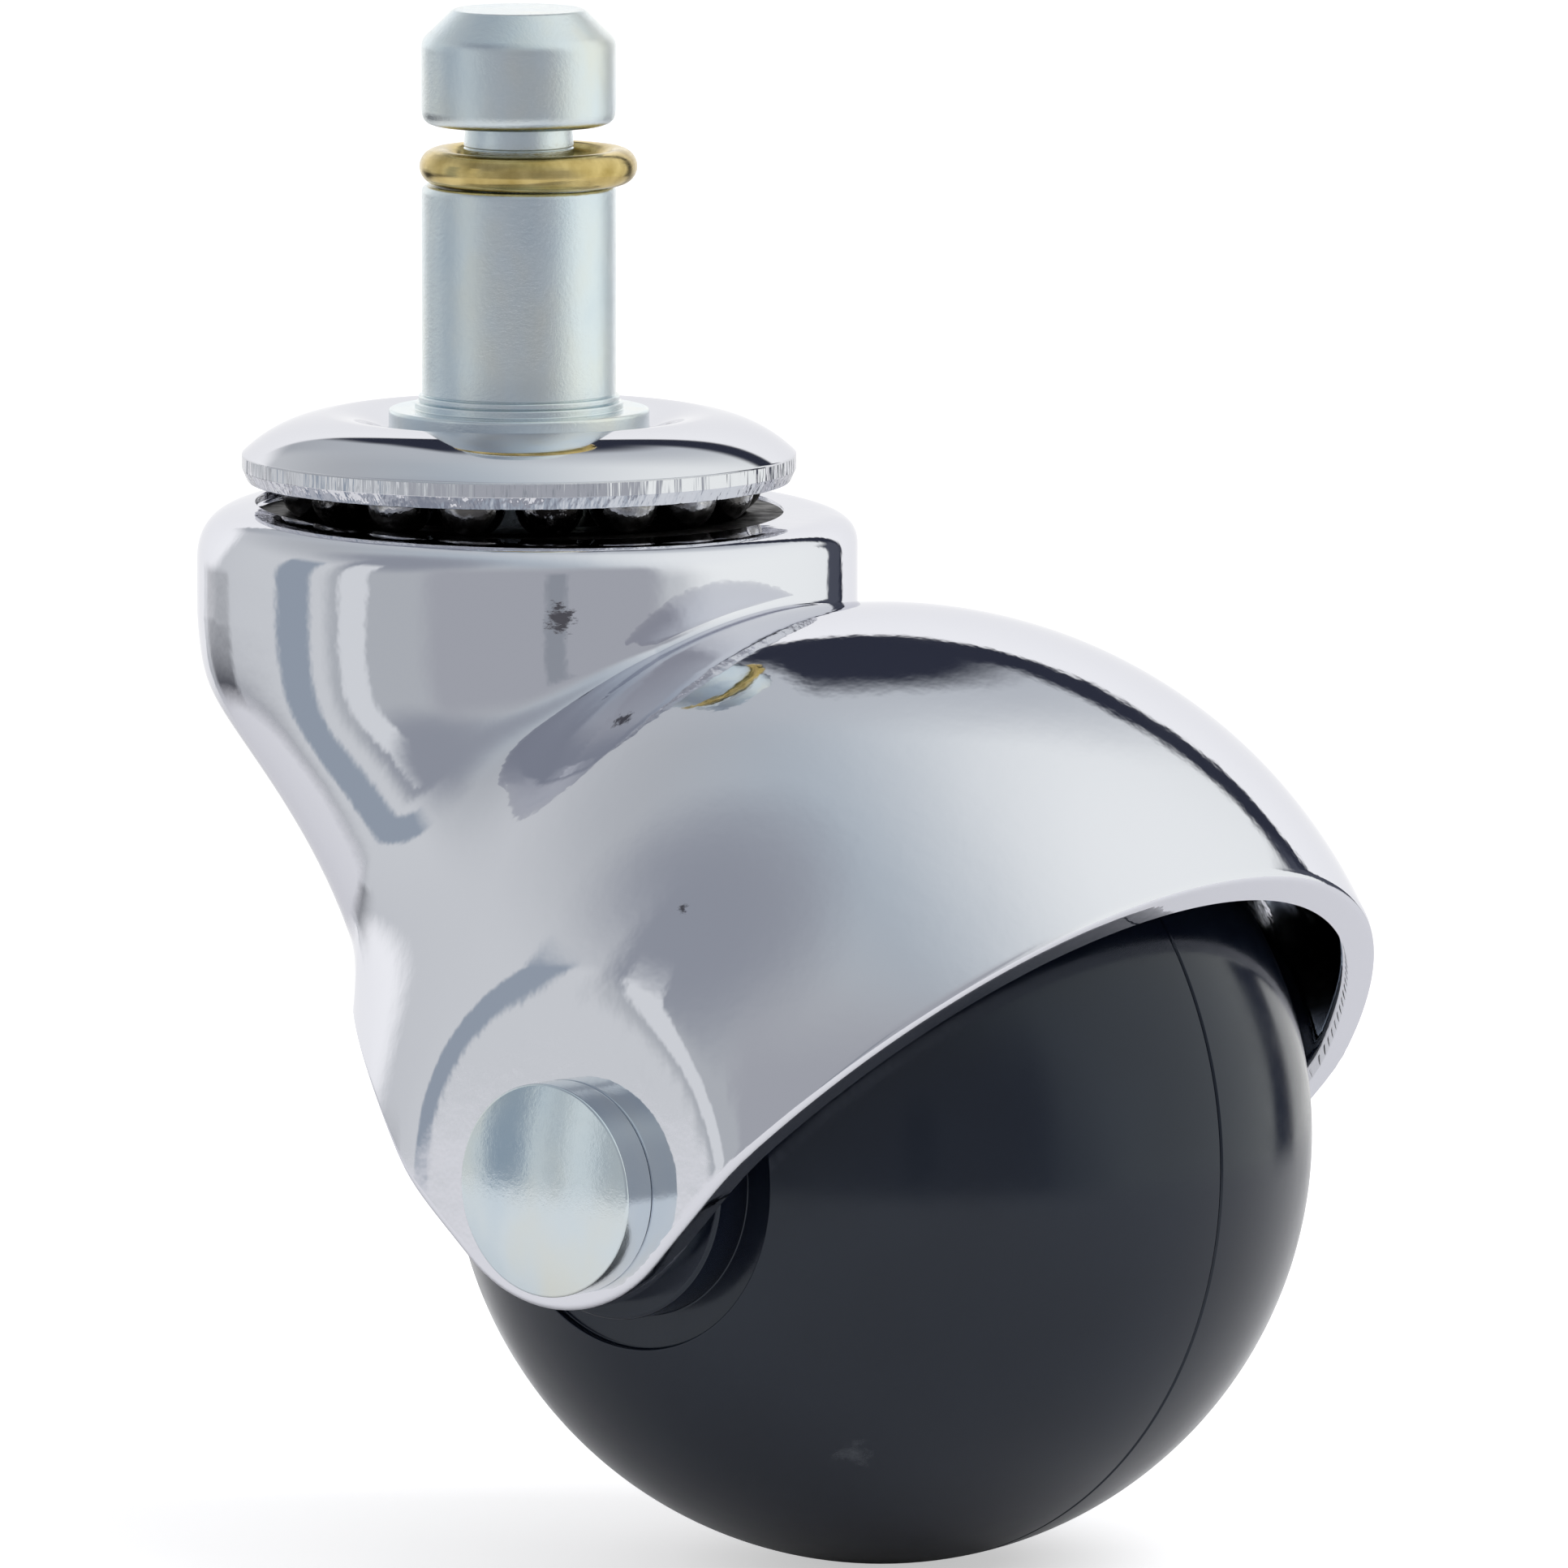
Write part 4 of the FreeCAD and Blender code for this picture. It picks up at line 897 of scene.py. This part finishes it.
def skin(form, first, last, rows, start_turns=None, samples=900):
    """Rows of points from the first tilt to the last, closer together where the surface bends."""
    way = np.linspace(0, 1, samples)[:, None]
    tilt = first + (last - first) * way
    turn = np.broadcast_to(turns, tilt.shape)
    if start_turns is not None:
        swing = (start_turns - turns + math.pi) % (2 * math.pi) - math.pi
        turn = turns + swing * (1 - way) ** 2
    spots = reach_of(form, turn, tilt)
    normals = slope_of(form, spots)
    step = np.linalg.norm(np.diff(spots, axis=0), axis=-1)
    bend = np.linalg.norm(np.diff(normals, axis=0), axis=-1)
    weight = np.concatenate([np.zeros((1, COLUMNS)), np.cumsum(step + BEND_WEIGHT * bend, axis=0)])
    weight /= weight[-1]
    # neighbouring columns share their spread, so that the rows run smoothly round
    shares = np.exp(-0.5 * (np.arange(-3 * SPREAD, 3 * SPREAD + 1) / SPREAD) ** 2)
    weight = sum(np.roll(weight, k - 3 * SPREAD, axis=1) * s for k, s in enumerate(shares)) / shares.sum()
    share = np.linspace(0, 1, rows)
    tilts = np.stack([np.interp(share, weight[:, k], tilt[:, k]) for k in range(COLUMNS)], 1)
    turned_by = np.stack([np.interp(share, weight[:, k], turn[:, k]) for k in range(COLUMNS)], 1)
    spots = reach_of(form, turned_by, tilts)
    return spots, slope_of(form, spots)


outer_skin, outer_normals = skin(solid_form, top_tilt, rim_tilt, OUTER_ROWS)
print("outside:", outer_skin.shape[0], "rows of", COLUMNS, "points")

# %% [markdown]
# The inside is made the same way, from the rim up to the boss under the web. Then the bore, the
# seats and the boss are plain circles about the stem's axis, which join the two skins into one
# closed shell.

# %% Inner skin and the turned seats
BOSS_RADIUS, BOSS_FOOT = 10.5, WEB - 5.0
stem_turns = np.arctan2(top_edge[:, 1], top_edge[:, 0])
root_x, root_y = BOSS_RADIUS * np.cos(stem_turns), BOSS_RADIUS * np.sin(stem_turns)
root_turn = np.arctan2(root_y, root_x - EYE[0])
root_tilt = np.arctan2(np.hypot(root_x - EYE[0], root_y), WEB - EYE[2])
inner_skin, inner_normals = skin(hollow_form, root_tilt, rim_tilt, INNER_ROWS, root_turn)
inner_skin, inner_normals = inner_skin[::-1], -inner_normals[::-1]


def seat_rows():
    """Rings about the stem's axis, from the boss's root through the bore up to the hole's edge."""
    socket, bore = LOWER_CUP_RADIUS + SEAT_GAP, 4.3
    outline = rounded([
        (BOSS_RADIUS, WEB), (BOSS_RADIUS, BOSS_FOOT, 0.5), (socket, BOSS_FOOT, 0.3), (socket, LOWER_CUP_TOP, 0.1),
        (bore, LOWER_CUP_TOP, 0.2), (bore, UPPER_CUP_FOOT, 0.2), (HOLE, UPPER_CUP_FOOT, 0.1), (HOLE, -6.3)], False)
    around = np.stack([np.cos(stem_turns), np.sin(stem_turns)], -1)
    line = np.array([tuple(point) for point in outline])
    along = np.gradient(line, axis=0)
    outward = np.stack([-along[:, 1], along[:, 0]], -1) / np.linalg.norm(along, axis=1, keepdims=True)
    rows, normals = [], []
    for (radius, height), (across, up) in zip(line, outward):
        rows.append(np.column_stack([radius * around, np.full(COLUMNS, height)]))
        normals.append(np.column_stack([across * around, np.full(COLUMNS, up)]))
    return np.stack(rows), np.stack(normals)


seats, seat_normals = seat_rows()
print("inside:", inner_skin.shape[0], "rows, seats:", seats.shape[0], "rows")


# %% Sew the skins together
def sew(rows):
    """Faces between rows of points that run round in columns, from the last row back to the first."""
    faces = []
    for row in range(len(rows)):
        a, b = row * COLUMNS, ((row + 1) % len(rows)) * COLUMNS
        for column in range(COLUMNS):
            after = (column + 1) % COLUMNS
            faces.append([a + column, a + after, b + after, b + column])
    return faces


shell = np.concatenate([outer_skin, inner_skin[1:], seats[1:]])
shell_normals = np.concatenate([outer_normals, inner_normals[1:], seat_normals[1:]])
housing = outwards(mesh_object("housing_cast", shell.reshape(-1, 3).tolist(), sew(shell), cast_chrome))
# a mirror shows the smallest error of a face, so each point gets the normal of its formula
housing.data.normals_split_custom_set_from_vertices(shell_normals.reshape(-1, 3).tolist())
stand_for(housing, "chromed_casting", "swivel", "housing")

# %% [markdown]
# ## Floor, light and camera
# The castor stands on a plain pale sweep under soft light. Chrome has no colour of its own, so what
# it mirrors decides how it looks: a white wall behind, a dark gap above it, and a pale ceiling.

# %% Floor
FLOOR = -(AXLE_DROP + BALL_RADIUS) - 0.05


def make_floor():
    half = 4000
    material = bpy.data.materials.new("pale_studio_floor")
    floor = mesh_object("studio_floor", [(-half, -half, FLOOR), (half, -half, FLOOR), (half, half, FLOOR),
                                         (-half, half, FLOOR)], [(0, 1, 2, 3)], material)
    tree = empty_tree(material)
    paint = add(tree, "ShaderNodeBsdfDiffuse", {"Color": swatch("E6E6E8")})
    glow = add(tree, "ShaderNodeEmission", {"Color": (1, 1, 1, 1), "Strength": 0.5})
    path = add(tree, "ShaderNodeLightPath").outputs
    lit = add(tree, "ShaderNodeAddShader", {0: paint, 1: glow})
    seen = add(tree, "ShaderNodeMixShader", {0: path["Is Camera Ray"], 1: paint, 2: lit})
    # in mirrors the floor is a small table: past 0.2 m they show the room below the horizon
    place = add(tree, "ShaderNodeTexCoord").outputs["Object"]
    reach = add(tree, "ShaderNodeVectorMath", {0: place}, operation="LENGTH").outputs["Value"]
    beyond = add(tree, "ShaderNodeMapRange", {"Value": reach, "From Min": 0.17, "From Max": 0.24})
    open_end = add(tree, "ShaderNodeMath", {0: beyond, 1: path["Is Glossy Ray"]}, operation="MULTIPLY")
    clear = add(tree, "ShaderNodeBsdfTransparent")
    table = add(tree, "ShaderNodeMixShader", {0: open_end, 1: seen, 2: clear})
    add(tree, "ShaderNodeOutputMaterial", {"Surface": table})
    return floor


make_floor()

# %% [markdown]
# The world gives an even base light. What mirrors see in it is a room that is painted patch by patch
# from directions: a compass angle and an elevation in degrees, each with a soft edge.


# %% World
def make_world():
    world = bpy.data.worlds.new("soft_studio")
    bpy.context.scene.world = world
    tree = empty_tree(world)
    way = add(tree, "ShaderNodeTexCoord").outputs["Generated"]
    height = add(tree, "ShaderNodeSeparateXYZ", {0: way}).outputs["Z"]
    level_way = add(tree, "ShaderNodeVectorMath", {0: way, 1: (1, 1, 0)}, operation="MULTIPLY")
    level_way = add(tree, "ShaderNodeVectorMath", {0: level_way}, operation="NORMALIZE")

    def fade(value, none, full):
        """0 up to one value, 1 from the other, and a smooth change between them."""
        return add(tree, "ShaderNodeMapRange", {"Value": value, "From Min": none, "From Max": full},
                   interpolation_type="SMOOTHSTEP")

    def toward(azimuth, elevation, inner, outer, ray=way):
        """1 within the inner angle of a direction, fading to 0 at the outer angle."""
        a, e, inner, outer = (math.radians(angle) for angle in (azimuth, elevation, inner, outer))
        aim = (math.cos(e) * math.cos(a), math.cos(e) * math.sin(a), math.sin(e))
        dot = add(tree, "ShaderNodeVectorMath", {0: ray, 1: aim}, operation="DOT_PRODUCT").outputs["Value"]
        return fade(dot, math.cos(outer), math.cos(inner))

    def sector(azimuth, inner, outer):
        """1 within the inner angle of a compass direction at every height, 0 beyond the outer angle."""
        return toward(azimuth, 0, inner, outer, level_way)

    def both(a, b):
        return add(tree, "ShaderNodeMath", {0: a, 1: b}, operation="MULTIPLY")

    def band(low, low_soft, high_soft, high):
        """1 between two elevations, with its own softness at each end."""
        low, low_soft, high_soft, high = (math.sin(math.radians(e)) for e in (low, low_soft, high_soft, high))
        return both(fade(height, low, low_soft), fade(height, high, high_soft))

    room = swatch("A9ACAF")
    for mask, colour in (
            # a dim ceiling, a wide window on the right, and the duller room behind the viewer
            (toward(23, 70, 9, 63), "A6AFB6"),
            (toward(54, 28, 4, 78), "E6E8E6"),
            (both(sector(57, 34, 54), band(-50, -40, 15, 45)), "E8EAE7"),
            (toward(250, 46, 0, 36), "8A8E96"),
            (both(sector(315, 36, 46), band(-60, -50, 18, 45)), "9D9FA4"),
            (both(sector(319, 2, 5), band(-60, -50, 10, 22)), "888C92"),
            # a pale wall on the left, with a door in its shade and a bright strip beside it
            (both(sector(195, 36, 44), band(-40, -30, 20, 55)), "C5C7C8"),
            (both(sector(219, 6, 10), band(-40, -30, 22, 32)), "8E97A1"),
            (both(sector(246, 4, 7), band(-40, -30, 26, 38)), "CDCFD0"),
            # the dark gap that arches over the white backdrop, in its soft shade, and a dark post
            (toward(126, 46, 5, 32), "B2B6BA"),
            (both(toward(124, 5, 37, 41), sector(110, 32, 36)), "2C2F3B"),
            (both(toward(131, 46, 8, 17), sector(110, 32, 36)), "2C2F3B"),
            (both(sector(85, 4, 7), band(-40, -30, 14, 24)), "4A4D57"),
            # the backdrop itself, in two sheets, and the shade under the horizon beside it
            (both(toward(124, 3, 31, 33), band(-26, -6, 60, 70)), "F4F4F3"),
            (both(toward(158, 8, 12, 20), band(-14, -3, 60, 70)), "F4F4F3"),
            (both(sector(186, 26, 36), band(-60, -50, -20, -6)), "6E7078"),
            (both(sector(170, 8, 13), band(-60, -50, -16, -2)), "35363D")):
        room = add(tree, "ShaderNodeMix", {0: mask, 6: room, 7: swatch(colour)}, data_type="RGBA").outputs[2]
    path = add(tree, "ShaderNodeLightPath").outputs
    mirrored = add(tree, "ShaderNodeBackground", {"Color": room, "Strength": 1.25})
    even = add(tree, "ShaderNodeBackground", {"Color": (1, 1, 1, 1), "Strength": 0.62})
    clear = add(tree, "ShaderNodeBackground", {"Color": (1, 1, 1, 1), "Strength": 1.0})
    split = add(tree, "ShaderNodeMixShader", {0: path["Is Glossy Ray"], 1: even, 2: mirrored})
    final = add(tree, "ShaderNodeMixShader", {0: path["Is Camera Ray"], 1: split, 2: clear})
    add(tree, "ShaderNodeOutputWorld", {"Surface": final})


make_world()


# %% Lamps
def softbox(name, place, aim, size, power):
    """A large soft lamp in metres and watts that faces its aim."""
    lamp = bpy.data.lights.new(name, "AREA")
    lamp.shape = "RECTANGLE"
    lamp.size, lamp.size_y = size
    lamp.energy = power
    holder = bpy.data.objects.new(name, lamp)
    holder.location = place
    holder.rotation_euler = (Vector(aim) - Vector(place)).to_track_quat("-Z", "Y").to_euler()
    holder.visible_glossy = False
    bpy.context.scene.collection.objects.link(holder)
    return holder


softbox("key_softbox", (0.75, 0.35, 0.9), (0.02, 0, -0.02), (0.9, 0.9), 9.0)
softbox("fill_softbox", (-0.7, -0.7, 0.6), (0.02, 0, -0.02), (0.8, 0.8), 3.0)

# %% [markdown]
# The camera stands 1.4 m away, as for a small product shot with a long lens. Its place comes from
# matching the outline of the ball, the seam, the rim and the disc in the photograph, which also say
# how many of its pixels make a millimetre and where the ball's centre lies in it.


# %% Camera
VIEW_TURN, VIEW_RISE, VIEW_DISTANCE = 38.6, 7.91, 1400.0
PICTURE, PIXELS_PER_MM, BALL_AT, SENSOR = 1932, 21.75, (1086.15, 1395.82), 36.0


def make_camera():
    azimuth, elevation = math.radians(VIEW_TURN), math.radians(VIEW_RISE)
    back = Vector((math.sin(azimuth) * math.cos(elevation), -math.cos(azimuth) * math.cos(elevation),
                   math.sin(elevation)))
    right = Vector((math.cos(azimuth), math.sin(azimuth), 0))
    above = back.cross(right)
    centre = Vector(AXLE_CENTRE)
    aim = centre + right * ((PICTURE / 2 - BALL_AT[0]) / PIXELS_PER_MM)
    aim += above * ((BALL_AT[1] - PICTURE / 2) / PIXELS_PER_MM)
    lens = bpy.data.cameras.new("product_camera")
    lens.sensor_width = SENSOR
    lens.lens = PIXELS_PER_MM * VIEW_DISTANCE / PICTURE * SENSOR
    lens.clip_start, lens.clip_end = 0.05, 20.0
    camera = bpy.data.objects.new("product_camera", lens)
    camera.location = (centre + back * VIEW_DISTANCE) * MM
    camera.rotation_euler = (aim * MM - camera.location).to_track_quat("-Z", "Y").to_euler()
    bpy.context.scene.collection.objects.link(camera)
    bpy.context.scene.camera = camera
    print("lens", round(lens.lens, 1), "mm, place", [round(c, 3) for c in camera.location])


make_camera()
bpy.context.scene.view_settings.view_transform = "Standard"
